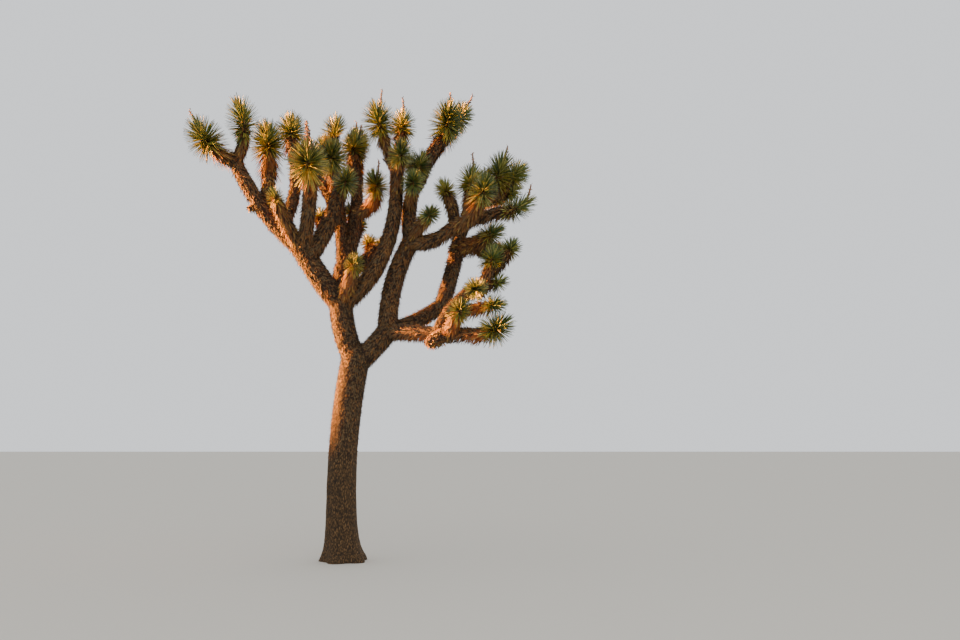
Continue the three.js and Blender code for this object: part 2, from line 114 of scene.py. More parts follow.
def start_tree(name, sizes):
    """A Geometry Nodes tree with a named input for each size. Returns the tree and its input sockets."""
    tree = bpy.data.node_groups.new(name, "GeometryNodeTree")
    tree.is_modifier = True
    kinds = {float: "NodeSocketFloat", int: "NodeSocketInt", type(None): "NodeSocketCollection"}
    tree.interface.new_socket("Geometry", in_out="OUTPUT", socket_type="NodeSocketGeometry")
    tree.interface.new_socket("Geometry", in_out="INPUT", socket_type="NodeSocketGeometry")
    for label, value in sizes.items():
        socket = tree.interface.new_socket(label, in_out="INPUT", socket_type=kinds[type(value)])
        if value is not None:
            socket.default_value = value
    return tree, tree.nodes.new("NodeGroupInput").outputs


def grow(tree, host, name, sizes, keep_host=False):
    """Runs a tree on an object, and returns what grows as an object with a plain mesh."""
    modifier = host.modifiers.new(tree.name, "NODES")
    modifier.node_group = tree
    for item in tree.interface.items_tree:
        if item.in_out == "INPUT" and item.name in sizes:
            modifier[item.identifier] = sizes[item.name]
    seen = host.evaluated_get(bpy.context.evaluated_depsgraph_get())
    mesh = bpy.data.meshes.new_from_object(seen)
    host.modifiers.remove(modifier)
    if not keep_host:
        discard(host)
    return show(name, mesh)


def show(name, mesh):
    mesh.name = name
    piece = bpy.data.objects.new(name, mesh)
    bpy.context.scene.collection.objects.link(piece)
    return piece


def discard(piece):
    """Takes away an object that only served to make another, and its data."""
    bpy.data.batch_remove((piece, piece.data))


def baked(work, name):
    """Turns a finished bmesh into a mesh."""
    mesh = bpy.data.meshes.new(name)
    work.to_mesh(mesh)
    work.free()
    return mesh


def triangles(piece):
    return sum(len(face.vertices) - 2 for face in piece.data.polygons)


# %% [markdown]
# The tree itself is two short tables, the same as in the part's source, here in metres. The first lists
# the limbs. A limb grows on another, some share of the way along it, and its line is straight but for its
# middle, which swings aside. Three limbs have been lost, and each has left a stub.

# %% The limbs
ROOT = (0, 0, 0)
LIMBS = {  # on what, how far along, tip, swing of the middle, thickness at root and tip
    "trunk": (None, 0, (0.12, 0, 2.56), (-0.09, 0, 0), (0.372, 0.345)),
    "left_bough": ("trunk", 0.97, (-0.085, 0, 3.23), (-0.045, 0, 0), (0.30, 0.305)),
    "right_bough": ("trunk", 0.95, (0.53, -0.05, 2.87), (0.01, 0, -0.02), (0.29, 0.27)),
    "left_arm": ("left_bough", 0.97, (-0.57, -0.15, 3.89), (-0.01, 0, -0.03), (0.29, 0.275)),
    "left_arm_upper": ("left_arm", 0.97, (-1.41, -0.35, 5.00), (-0.07, -0.03, -0.05), (0.225, 0.18)),
    "left_front_limb": ("left_arm", 0.97, (-0.38, -0.70, 4.64), (0.03, -0.06, -0.01), (0.195, 0.185)),
    "left_rear_limb": ("left_arm_upper", 0.25, (-0.84, 0.30, 5.42), (0.11, 0.04, 0), (0.165, 0.16)),
    "inner_left_limb": ("left_arm", 0.86, (-0.105, -0.18, 4.60), (0.03, 0, -0.06), (0.25, 0.205)),
    "rear_bough": ("left_bough", 0.96, (-0.10, 0.23, 3.70), (-0.02, 0, -0.02), (0.24, 0.24)),
    "rear_left_limb": ("rear_bough", 0.97, (-0.34, 0.56, 5.12), (0.04, 0.02, 0), (0.19, 0.18)),
    "rear_middle_limb": ("rear_bough", 0.95, (-0.075, 0.76, 5.34), (0.11, 0.02, 0.02), (0.215, 0.15)),
    "rear_low_limb": ("rear_bough", 0.92, (0.23, 0.86, 4.06), (0.05, 0.04, -0.01), (0.185, 0.175)),
    "centre_limb": ("left_bough", 0.96, (0.62, -0.20, 4.93), (0.205, 0, -0.185), (0.25, 0.175)),
    "right_arm": ("right_bough", 0.97, (0.825, 0, 4.06), (-0.085, 0.01, 0.02), (0.265, 0.235)),
    "right_arm_upper": ("right_arm", 0.97, (0.785, -0.02, 4.53), (-0.025, 0, 0), (0.22, 0.195)),
    "top_right_limb": ("right_arm_upper", 0.96, (1.19, 0.48, 5.54), (-0.055, 0, 0), (0.165, 0.18)),
    "crossing_limb": ("right_arm", 0.96, (1.40, -0.35, 4.17), (0.01, -0.02, -0.09), (0.18, 0.175)),
    "crossing_limb_end": ("crossing_limb", 0.97, (1.96, -0.41, 4.305), (0, -0.01, 0), (0.16, 0.15)),
    "low_rear_limb": ("right_bough", 0.97, (1.21, 0.35, 3.27), (0.05, 0.04, -0.02), (0.195, 0.20)),
    "low_rear_riser": ("low_rear_limb", 0.97, (1.38, 0.60, 4.05), (0.01, 0.02, 0), (0.22, 0.205)),
    "far_right_limb": ("low_rear_riser", 0.97, (1.84, 0.51, 4.79), (-0.09, 0.04, 0.06), (0.195, 0.18)),
    "low_front_limb": ("right_bough", 0.97, (1.75, -0.80, 2.735), (0.06, -0.06, -0.015), (0.18, 0.15)),
    "low_front_riser": ("low_front_limb", 0.48, (1.745, -0.56, 3.37), (-0.06, -0.04, 0.06), (0.165, 0.165)),
    "back_left_limb": ("rear_left_limb", 0.36, (-0.62, 1.15, 5.20), (0.04, 0.12, 0), (0.165, 0.155)),
    "back_right_limb": ("top_right_limb", 0.3, (0.91, 0.85, 5.17), (-0.02, 0.06, -0.02), (0.165, 0.155)),
}
STUBS = [  # what is left of lost limbs: on what, how far along, reach, thickness
    ("left_arm_upper", 0.5, (-0.16, -0.03, -0.01), 0.12),
    ("centre_limb", 0.98, (-0.175, -0.05, 0.15), 0.05),
    ("low_front_limb", 0.58, (-0.20, -0.07, -0.12), 0.215),
]
print(len(LIMBS), "limbs and", len(STUBS), "stubs")

# %% [markdown]
# The second table lists the masses of leaves. A mass is one or two balls of leaves, each on a stem of its
# own, and a ball has a middle and a reach. Extras say where a ball differs from the rest: how its stem
# swings, how far down the stem its lower leaves start (descent, in reaches), how much yellower its leaves
# are (gold, partly older leaves and partly painted sunlight), how full its skirt of dead leaves is, and
# the tilt and length of its flower stalks. The second stem of a mass leaves the first one at the fork.
# Everything else follows by rule.

# %% The balls of leaves
def ball(x, y, z, reach, **extras):
    return dict(extras, middle=(x, y, z), reach=reach)


MASSES = {  # on what, how far along, stem thickness, then the balls
    "tuft_left_end": ("left_arm_upper", 0.97, 0.14, [
        ball(-1.785, -0.52, 5.28, 0.255, descent=0.5, swing=(-0.05, -0.02, -0.02),
             gold=0.1, stalks=[(-29, 0.33)])]),
    "tuft_left_top": ("left_arm_upper", 0.97, 0.16, [
        ball(-1.305, -0.50, 5.56, 0.24, descent=0.8, swing=(0.07, 0, -0.02))]),
    "tuft_left_inner": ("left_arm_upper", 0.5, 0.175, [
        ball(-1.05, -0.15, 5.35, 0.26, swing=(0.035, 0.06, -0.06), gold=0.12, skirt=1.5)]),
    "tuft_left_low": ("left_arm", 1, 0.175, [
        ball(-0.84, -0.60, 4.47, 0.13, gold=0.35)]),
    "tuft_left_rear": ("left_rear_limb", 0.97, 0.15, [
        ball(-0.85, 0.35, 5.655, 0.232, gold=-0.08)]),
    "tuft_left_front": ("left_front_limb", 0.97, 0.17, [
        ball(-0.37, -1.00, 4.815, 0.275, gold=0.25, skirt=1.5, stalks=[(-2, 0.46, "seeds")])]),
    "tuft_inner_left": ("inner_left_limb", 0.97, 0.17, [
        ball(0.005, -0.34, 4.75, 0.19, swing=(0, 0.05, -0.02), gold=-0.05, skirt=1.8)]),
    "tuft_behind_inner_left": ("inner_left_limb", 0.45, 0.12, [
        ball(-0.43, 0.30, 4.43, 0.135)]),
    "tufts_rear_left": ("rear_left_limb", 0.97, 0.15, [
        ball(-0.31, 0.70, 5.77, 0.218, descent=0.6, gold=0.2),
        ball(-0.30, 0.33, 5.27, 0.25, fork=0.1, gold=-0.08)]),
    "tuft_rear_middle": ("rear_middle_limb", 0.97, 0.17, [
        ball(-0.06, 0.80, 5.58, 0.245, gold=0.3, skirt=1.8, stalks=[(5, 0.29), (22, 0.26)])]),
    "tuft_rear_side": ("rear_middle_limb", 0.47, 0.17, [
        ball(0.318, 0.12, 4.83, 0.205, swing=(0.1, 0, -0.045), gold=0.25, skirt=2, stalks=[(8, 0.30)])]),
    "tufts_rear_low": ("rear_middle_limb", 0.25, 0.12, [
        ball(0.015, 1.00, 4.45, 0.125),
        ball(-0.12, 0.90, 4.65, 0.135, fork=0.5)]),
    "tufts_rear_foot": ("rear_low_limb", 0.97, 0.13, [
        ball(0.12, 1.12, 4.24, 0.14, gold=0.1),
        ball(0.32, 0.96, 4.18, 0.135, fork=0.1, gold=0.1)]),
    "tuft_fork": ("left_bough", 0.99, 0.19, [
        ball(0.13, -0.35, 3.69, 0.15, gold=0.3)]),
    "tuft_centre_top": ("centre_limb", 0.97, 0.14, [
        ball(0.388, -0.35, 5.545, 0.245, swing=(0, 0.07, -0.05), gold=0.1, skirt=1.6, stalks=[(8, 0.365)])]),
    "tuft_centre_rear": ("centre_limb", 0.97, 0.125, [
        ball(0.668, 0.05, 5.62, 0.202, gold=0.15, skirt=1.6, stalks=[(0, 0.325)])]),
    "tuft_centre_front": ("centre_limb", 0.85, 0.14, [
        ball(0.71, -0.55, 5.05, 0.192, swing=(0, 0.04, -0.04))]),
    "tuft_right_upper": ("right_arm_upper", 0.97, 0.14, [
        ball(0.93, -0.25, 4.985, 0.188)]),
    "tuft_right_front": ("right_arm_upper", 0.9, 0.14, [
        ball(0.86, -0.50, 4.69, 0.165, gold=-0.1, skirt=2)]),
    "tuft_right_low": ("right_arm", 0.99, 0.155, [
        ball(1.08, -0.45, 4.27, 0.145, swing=(-0.02, 0, 0.02))]),
    "tufts_top_right": ("top_right_limb", 0.97, 0.15, [
        ball(1.262, 0.30, 5.785, 0.262, swing=(0, 0.07, -0.04), gold=-0.15, stalks=[(4, 0.32)]),
        ball(1.425, 0.70, 5.945, 0.215, fork=0.3, gold=-0.1, stalks=[(30, 0.32)])]),
    "tuft_crossing_inner": ("crossing_limb", 0.95, 0.16, [
        ball(1.23, -0.20, 4.67, 0.158, swing=(0.03, 0, -0.01), gold=0.45, skirt=1.6)]),
    "tufts_crossing_middle": ("crossing_limb", 0.97, 0.16, [
        ball(1.74, -0.80, 4.52, 0.205, swing=(0.02, -0.02, -0.10), skirt=1.8),
        ball(1.582, -0.45, 4.73, 0.207, fork=0.3, gold=0.35, skirt=1.6, stalks=[(2, 0.315)])]),
    "tuft_crossing_end": ("crossing_limb_end", 0.97, 0.15, [
        ball(2.24, -0.40, 4.40, 0.188, descent=0.9, gold=-0.1, skirt=1.6, stalks=[(18, 0.27)])]),
    "tufts_far_right": ("far_right_limb", 0.97, 0.15, [
        ball(1.97, 0.45, 5.125, 0.252, descent=0.5, gold=0.15, skirt=2, stalks=[(17, 0.31)]),
        ball(2.19, 0.70, 5.11, 0.225, fork=0.2)]),
    "tufts_right_rear": ("low_rear_riser", 0.98, 0.225, [
        ball(1.875, 0.55, 4.25, 0.195, gold=0.1, skirt=2),
        ball(2.00, 0.90, 4.07, 0.15, fork=0.5)]),
    "tufts_riser_end": ("low_front_riser", 0.97, 0.15, [
        ball(1.85, -0.55, 3.735, 0.178),
        ball(2.085, -0.20, 3.905, 0.156, fork=0.5)]),
    "tufts_riser_side": ("low_front_riser", 0.97, 0.12, [
        ball(1.93, -0.50, 3.41, 0.14),
        ball(1.62, -0.85, 3.265, 0.163, fork=0.1, gold=-0.18)]),
    "tuft_low_inner": ("low_front_limb", 0.57, 0.175, [
        ball(1.455, -0.90, 3.035, 0.165)]),
    "tuft_low_upper": ("low_front_riser", 0.3, 0.125, [
        ball(1.875, -0.75, 3.09, 0.16, swing=(0, 0, 0.01), gold=0.1)]),
    "tuft_low_end": ("low_front_limb", 0.97, 0.15, [
        ball(1.915, -0.90, 2.815, 0.215, gold=-0.2)]),
    "tufts_back_left": ("back_left_limb", 0.97, 0.14, [
        ball(-0.59, 1.50, 5.74, 0.205),
        ball(-0.90, 1.30, 5.62, 0.19, fork=0.1)]),
    "tuft_back_middle": ("rear_middle_limb", 0.72, 0.14, [
        ball(-0.08, 1.50, 5.84, 0.18)]),
    "tufts_back_right": ("back_right_limb", 0.97, 0.14, [
        ball(0.70, 1.20, 5.40, 0.175),
        ball(1.25, 1.08, 5.88, 0.19, fork=0.2)]),
    "tufts_back_far_right": ("far_right_limb", 0.5, 0.14, [
        ball(1.79, 1.15, 5.14, 0.21),
        ball(2.13, 1.30, 5.03, 0.20, fork=0.45)]),
}
REGIONS = {  # the limbs that each part of the tree starts from
    "trunk": "trunk", "left_arm": "left", "rear_bough": "rear", "centre_limb": "middle",
    "right_arm": "middle", "low_rear_limb": "right", "low_front_limb": "right",
}
print(sum(len(row[3]) for row in MASSES.values()), "balls of leaves in", len(MASSES), "masses")

# %% [markdown]
# A limb's line is a curve with one control point, so a point on it, its heading and its thickness are
# each one line of arithmetic on whole arrays. The trunk spreads at its foot into five low buttresses.
# A stem runs on into its ball of leaves, where it thins out until the leaves hide it.

# %% The lines that everything grows along
STEM_SAG = 0.07  # how low the middle of a ball's stem hangs, as a share of its length
STEM_TAPER = 0.9
STEM_HIDDEN = 0.9  # how much of a stem's end lies inside its ball, in reaches
STEM_END = 0.4  # how thin a stem ends there, as a share of its thickness before it
STUB_END = 0.4  # the radius at a stub's end, as a share of its thickness
ROOT_FLARE, FLARE_HEIGHT = 0.105, 0.20
BUTTRESSES, BUTTRESS_DEPTH = 5, 0.14


class Line:
    def __init__(self, name, root, tip, swing, radii, region, coat, age, mass=None):
        self.name, self.region, self.mass, self.coat, self.age = name, region, mass, coat, age
        self.hidden = 0  # the length of its end that lies inside a ball of leaves
        self.root, self.tip = np.array(root, float), np.array(tip, float)
        self.bend = (self.root + self.tip) / 2 + 2 * np.array(swing, float)
        self.radii = radii
        chord = self.tip - self.root
        side = np.cross(chord, self.bend - self.root)
        if np.linalg.norm(side) < 1e-3 * chord.dot(chord):  # a straight line has no side of its own
            side = np.cross(chord, (0, 1, 0.01))
        self.side = side / np.linalg.norm(side)

    def point(self, t):
        t = np.asarray(t, float)[..., None]
        return (1 - t) ** 2 * self.root + 2 * t * (1 - t) * self.bend + t ** 2 * self.tip

    def heading(self, t):
        t = np.asarray(t, float)[..., None]
        way = (1 - t) * (self.bend - self.root) + t * (self.tip - self.bend)
        return way / np.linalg.norm(way, axis=-1, keepdims=True)

    def length(self):
        spots = self.point(np.linspace(0, 1, 33))
        return np.linalg.norm(np.diff(spots, axis=0), axis=1).sum()

    def radius(self, t, turn=0.0):
        plain = self.radii[0] + (self.radii[1] - self.radii[0]) * np.asarray(t, float)
        if self.hidden:
            inside = np.clip((np.asarray(t) - 1) * self.length() / self.hidden + 1, 0, 1)
            plain = plain * (1 - (1 - STEM_END) * inside)
        if self.name != "trunk":
            return plain + 0 * turn
        flare = np.exp(-np.asarray(t) * self.tip[2] / FLARE_HEIGHT)
        return (plain + ROOT_FLARE * flare) * (1 + BUTTRESS_DEPTH * flare * np.cos(BUTTRESSES * turn))


def region_of(name):
    while name not in REGIONS:
        name = LIMBS[name][0]
        if name == "trunk":
            return "trunk"
    return REGIONS[name]


COATS = {  # length of the dead leaves and their age, each at root and tip
    "trunk": ((0.03, 0.035), (1, 0.95)),
    "left_bough": ((0.036, 0.04), (0.9, 0.8)),
    "right_bough": ((0.036, 0.04), (0.9, 0.8)),
    "left_arm": ((0.04, 0.042), (0.8, 0.6)),
    "other limb": ((0.042, 0.048), (0.6, 0.35)),
    "stub": ((0.03, 0.025), (0.3, 0.1)),
    "stem": ((0.048, 0.09), (0.3, 0)),
}
limbs = {}
for name, (on, share, tip, swing, thick) in LIMBS.items():
    root = limbs[on].point(share) if on else ROOT
    limbs[name] = Line(name, root, tip, swing, (thick[0] / 2, thick[1] / 2), region_of(name),
                       *COATS.get(name, COATS["other limb"]))

stubs = []
for on, share, reach, thick in STUBS:
    root = limbs[on].point(share)
    stubs.append(Line("stub", root, root + reach, (0, 0, 0), (thick / 2, STUB_END * thick),
                      limbs[on].region, *COATS["stub"]))

stems, tufts = [], []
for mass, (on, share, thick, balls) in MASSES.items():
    for i, row in enumerate(balls):
        root = first_stem.point(row["fork"]) if i else limbs[on].point(share)
        sag = -STEM_SAG * np.linalg.norm(root - np.array(row["middle"]))
        wide = thick / 2 * (STEM_TAPER if i else 1)
        stem = Line("stem", root, row["middle"], row.get("swing", (0, 0, sag)), (wide, STEM_TAPER * wide),
                    limbs[on].region, *COATS["stem"], mass=mass)
        stem.hidden = STEM_HIDDEN * row["reach"]
        if i == 0:
            first_stem = stem
        stems.append(stem)
        tufts.append(dict(row, mass=mass, stem=stem, region=stem.region))
print("limbs", round(sum(line.length() for line in limbs.values()), 1), "m long,",
      "stems", round(sum(line.length() for line in stems), 1), "m")

# %% [markdown]
# Dead leaves are dull, dry and rough, so their shader is plain: a base colour, a little mottling at the
# size of the real flecks, and a fine bump. Live leaves have a waxy skin, so theirs is smoother. A picture
# wrapped on the leaves could give the same flecks, but a noise pattern needs no unwrapping.

# %% Materials for leaves and stalks
MM = 0.001


def material(name, roughness, ior=1.45):
    """A material with its shader. The IOR of 1.45 is that of plant wax, dry fibre and paint."""
    made = bpy.data.materials.new(name)
    made.use_nodes = True
    shader = made.node_tree.nodes["Principled BSDF"]
    shader.inputs["Roughness"].default_value = roughness
    shader.inputs["IOR"].default_value = ior
    return made, made.node_tree, shader


def mottled(tree, shader, colour, darker, fleck, bump):
    """Two near shades of one colour in flecks of a real size, with a bump of the same grain."""
    place = add(tree, "ShaderNodeTexCoord").node.outputs["Object"]
    grain = add(tree, "ShaderNodeTexNoise", {"Vector": place, "Scale": 1 / fleck, "Detail": 3})
    share = add(tree, "ShaderNodeMapRange", {"Value": grain, "From Min": 0.35, "From Max": 0.65})
    mixed = add(tree, "ShaderNodeMix", {"Factor": share, 6: linear(darker), 7: linear(colour)},
                data_type="RGBA")
    tree.links.new(mixed, shader.inputs["Base Color"])
    lift = add(tree, "ShaderNodeBump", {"Height": grain, "Strength": 0.5, "Distance": bump})
    tree.links.new(lift, shader.inputs["Normal"])


def dry_fibre(name, colour, darker):
    """Dead plant fibre: dull, bleached or browned by the sun, with weathering flecks 25 mm apart."""
    made, tree, shader = material(name, roughness=0.85)
    mottled(tree, shader, colour, darker, fleck=25 * MM, bump=1 * MM)
    return made


def live_leaf(name, colour, darker):
    """Live leaf: a stiff green blade under a thin waxy skin, which gives it a satin gloss."""
    made, tree, shader = material(name, roughness=0.42)
    mottled(tree, shader, colour, darker, fleck=60 * MM, bump=0.4 * MM)
    return made


DRY = {
    "tan": dry_fibre("dry leaf, tan", "#845e34", "#604120"),
    "russet": dry_fibre("dry leaf, russet", "#78471c", "#543111"),
    "grey": dry_fibre("dry leaf, weathered grey", "#6b5638", "#4b3b25"),
    "straw": dry_fibre("dry leaf, bleached straw", "#ab8846", "#85622a"),
    "dark": dry_fibre("dry leaf, old and dark", "#382616", "#21160b"),
    "rosy": dry_fibre("dry leaf, rosy brown", "#78522f", "#573a20"),
    "rust": dry_fibre("dry leaf, rust orange", "#8f5a24", "#6b3f17"),
}
LIVE = {
    "blue": live_leaf("live leaf, blue green", "#5c7145", "#425830"),
    "green": live_leaf("live leaf, green", "#6d7937", "#515f25"),
    "olive": live_leaf("live leaf, olive", "#87853a", "#6a6927"),
    "yellow": live_leaf("live leaf, yellow green", "#9a983f", "#7b7a2e"),
    "gold": live_leaf("live leaf, gold", "#b8a444", "#978431"),
    # Painted highlight: pale leaves that stand for the gleam of sunlit and backlit leaves.
    "straw": live_leaf("live leaf, pale edge", "#b9b268", "#9e954c"),
    # Painted shade: dark green leaves that stand for the shade between the leaves of a ball.
    "painted_shade": live_leaf("live leaf, deep green", "#37411f", "#283116"),
}
SPINE = dry_fibre("leaf spine, dark horn", "#412d1f", "#2c1f16")
STALK = dry_fibre("dry flower stalk", "#967358", "#6f513c")
HUSK = dry_fibre("dry seed capsule", "#ad8a6e", "#7f5e45")
OLD_HUSK = dry_fibre("empty seed capsule, dark", "#523c2c", "#35261c")
print(len(bpy.data.materials), "materials")

# %% [markdown]
# Bark is cork. Its mesh will carry an attribute that says how far out each point lies, from the pit of a
# crack to the top of a plate. The colour follows it as painted shade, dark brown in the pits and lighter
# on the plates, and fibres that run up the limb break it up. Most of the limbs' bark lies in the shade of
# dead leaves, so their bark is a darker copy, painted shade for the shade that the leaves cast.

# %% Material for bark
FIBRE = (9 * MM, 9 * MM, 45 * MM)  # across the limb, across again, and along it
# The cracks are painted darker than the plates as painted shade, by this share of the ramp.
PAINTED_CRACK_SHADE = 0.35  # how much lighter a plate is than a crack, on the ramp
RAMP_PLACES = (0.45, 0.7, 0.88, 1)


def corky_bark(name, shades):
    """Cork: dry, crumbly and fibrous, with the cracks painted darker than the plates as painted shade."""
    made, tree, shader = material(name, roughness=0.95)
    grain = add(tree, "ShaderNodeAttribute", attribute_name="grain").node.outputs["Vector"]
    depth = add(tree, "ShaderNodeAttribute", attribute_name="plate").node.outputs["Fac"]
    cell = add(tree, "ShaderNodeVectorMath", {0: grain, 1: FIBRE}, operation="DIVIDE")
    fibre = add(tree, "ShaderNodeTexNoise", {"Vector": cell, "Scale": 1.0, "Detail": 4, "Roughness": 0.6})
    tone = add(tree, "ShaderNodeMath", {0: depth, 1: PAINTED_CRACK_SHADE, 2: fibre}, operation="MULTIPLY_ADD")
    ramp = add(tree, "ShaderNodeValToRGB", {"Fac": tone})
    elements = ramp.node.color_ramp.elements
    while len(elements) < len(shades):
        elements.new(0.5)
    for element, place, colour in zip(elements, RAMP_PLACES, shades):
        element.position = place
        element.color = linear(colour)
    tree.links.new(ramp, shader.inputs["Base Color"])
    lift = add(tree, "ShaderNodeBump", {"Height": fibre, "Strength": 0.7, "Distance": 4 * MM})
    tree.links.new(lift, shader.inputs["Normal"])
    return made


BARK = corky_bark("weathered cork bark", ("#241910", "#45341f", "#64492c", "#7f6142"))
# The limbs' bark is a darker copy of the trunk's, painted shade for the shade that the coat of dead leaves
# casts on it.
SHADE_DARKENED_BARK = corky_bark("dark bark under dead leaves", ("#1a1109", "#382616", "#553d24", "#6c5033"))
print("bark materials", BARK.name, "and", SHADE_DARKENED_BARK.name)

# %% [markdown]
# The bark could be sculpted, but a rule suits it better. Each limb is a plain closed tube. The tubes of
# one part of the tree are joined and remeshed as one skin of small even squares, which turns every fork
# into a smooth crotch. The tubes are a little thinner than the CAD limbs, because the coat of dead leaves
# on them adds its own thickness. The trunk has next to no coat, so it keeps its full width.

# %% Tubes for the limbs, remeshed as one skin
RING_STEP = 0.03
CORE_INSET = 0.010  # how much thinner than the CAD limb a core is, in radius
BURIED = 0.06  # how far down the trunk goes on, until it is cut level
END_RINGS = ((0.86, 0.4), (0.5, 0.75))  # a rounded end: each ring's width and how far ahead, in radii
END_POINT = 0.1  # how far ahead of the last ring the tip is, in radii


def tube(line, sides):
    """A closed tube round a line, as vertices and faces, with a rounded end."""
    rings = max(6, int(line.length() / RING_STEP))
    t = np.concatenate([np.linspace(0, 1, rings), [1, 1]])
    turn = np.linspace(0, 2 * np.pi, sides, endpoint=False)
    radius = line.radius(t[:, None], turn[None, :]) - (0 if line.name == "trunk" else CORE_INSET)
    heading, centre = line.heading(t), line.point(t)
    end = radius[-1].mean()
    for ring, (width, ahead) in zip((-2, -1), END_RINGS):
        radius[ring] *= width
        centre[ring] += heading[-1] * ahead * end
    if line.name == "trunk":
        centre[0] -= heading[0] * BURIED
    across = np.cross(line.side, heading)
    spoke = line.side * np.sin(turn)[None, :, None] + across[:, None] * np.cos(turn)[None, :, None]
    spots = (centre[:, None] + spoke * radius[..., None]).reshape(-1, 3)
    spots = np.vstack([spots, centre[0], centre[-1] + heading[-1] * END_POINT * end])
    faces = []
    for i in range(len(t) - 1):
        for j in range(sides):
            k = (j + 1) % sides
            faces.append((i * sides + j, i * sides + k, (i + 1) * sides + k, (i + 1) * sides + j))
    last = (len(t) - 1) * sides
    for j in range(sides):
        k = (j + 1) % sides
        faces.append((len(spots) - 2, k, j))
        faces.append((len(spots) - 1, last + j, last + k))
    return spots, faces


def skin(lines, sides, voxel):
    """One closed mesh round all these lines, of even squares a voxel wide."""
    spots, faces, start = [], [], 0
    for line in lines:
        its_spots, its_faces = tube(line, sides)
        spots.append(its_spots)
        faces += [tuple(start + corner for corner in face) for face in its_faces]
        start += len(its_spots)
    mesh = bpy.data.meshes.new("tubes")
    mesh.from_pydata(np.vstack(spots).tolist(), [], faces)
    host = show("tubes", mesh)
    remesh = host.modifiers.new("one skin", "REMESH")
    remesh.mode = "VOXEL"
    remesh.voxel_size = voxel
    whole = bpy.data.meshes.new_from_object(host.evaluated_get(bpy.context.evaluated_depsgraph_get()))
    discard(host)
    return show("skin", whole)


# %% [markdown]
# Cork cracks and dead leaves both follow the limb they are on, so every point of the skin is told about
# its nearest limb: which way is back down the limb, how long the coat's leaves are there, and where the
# point lies in the limb's own straightened space, called grain. A pattern drawn in that space runs along
# the limb and has no seam.

# %% Tell the skin about its limbs
SAMPLE_STEP = 0.025
BATCH = 20000  # how many points are compared at once, which keeps the arrays small
LIMB_SHIFT = 3  # moves the pattern from limb to limb, so that no two are alike


def samples(lines):
    """Points along the lines, with all that a point of the skin needs to know."""
    rows = dict(place=[], radius=[], heading=[], side=[], along=[], coat=[], age=[], number=[])
    for number, line in enumerate(lines):
        count = max(3, int(line.length() / SAMPLE_STEP))
        t = np.linspace(0, 1, count)
        rows["place"].append(line.point(t))
        rows["radius"].append(line.radius(t))
        rows["heading"].append(line.heading(t))
        rows["side"].append(np.tile(line.side, (count, 1)))
        rows["along"].append(t * line.length())
        rows["coat"].append(np.interp(t, (0, 1), line.coat))
        rows["age"].append(np.interp(t, (0, 1), line.age))
        rows["number"].append(np.full(count, float(number)))
    return {key: np.concatenate(value) for key, value in rows.items()}


def put(mesh, name, kind, values):
    """Stores an array as an attribute, one value for each vertex."""
    layer = mesh.attributes.new(name, kind, "POINT")
    field = "vector" if kind == "FLOAT_VECTOR" else "value"
    number_kind = np.int32 if kind == "INT" else np.float32
    layer.data.foreach_set(field, np.ascontiguousarray(values, number_kind).ravel())


def tell(piece, lines):
    """Stores down, grain, coat and age on every point of the skin."""
    known = samples(lines)
    spots = np.empty(len(piece.data.vertices) * 3, np.float32)
    piece.data.vertices.foreach_get("co", spots)
    spots = spots.reshape(-1, 3)
    nearest = np.empty(len(spots), int)
    for start in range(0, len(spots), BATCH):
        part = spots[start:start + BATCH]
        gaps = np.linalg.norm(part[:, None] - known["place"][None], axis=2) - known["radius"]
        nearest[start:start + BATCH] = gaps.argmin(axis=1)
    heading, side = known["heading"][nearest], known["side"][nearest]
    away = spots - known["place"][nearest]
    grain = np.stack([(away * side).sum(1), (away * np.cross(side, heading)).sum(1),
                      known["along"][nearest] + (away * heading).sum(1)], axis=1)
    grain[:, 0] += LIMB_SHIFT * known["number"][nearest]
    put(piece.data, "down", "FLOAT_VECTOR", -heading)
    put(piece.data, "grain", "FLOAT_VECTOR", grain)
    put(piece.data, "coat", "FLOAT", known["coat"][nearest])
    put(piece.data, "age", "FLOAT", known["age"][nearest])


# %% [markdown]
# The relief of the bark is real geometry. A Geometry Nodes tree pushes each point of the skin in or out:
# a slow swell, plates of cork parted by cracks that run up the limb, and a fine roughness on top. It also
# stores how far each point stands out, for the material. Nodes do this well because the sizes stay as
# named inputs in metres.

# %% Bark relief
WOBBLE = (0.02, 0.02, 0.02)  # how far the noise shifts a crack, in metres
CRACK_SIDE = 0.22  # how wide the slope at a plate's edge is, as a share of the plate


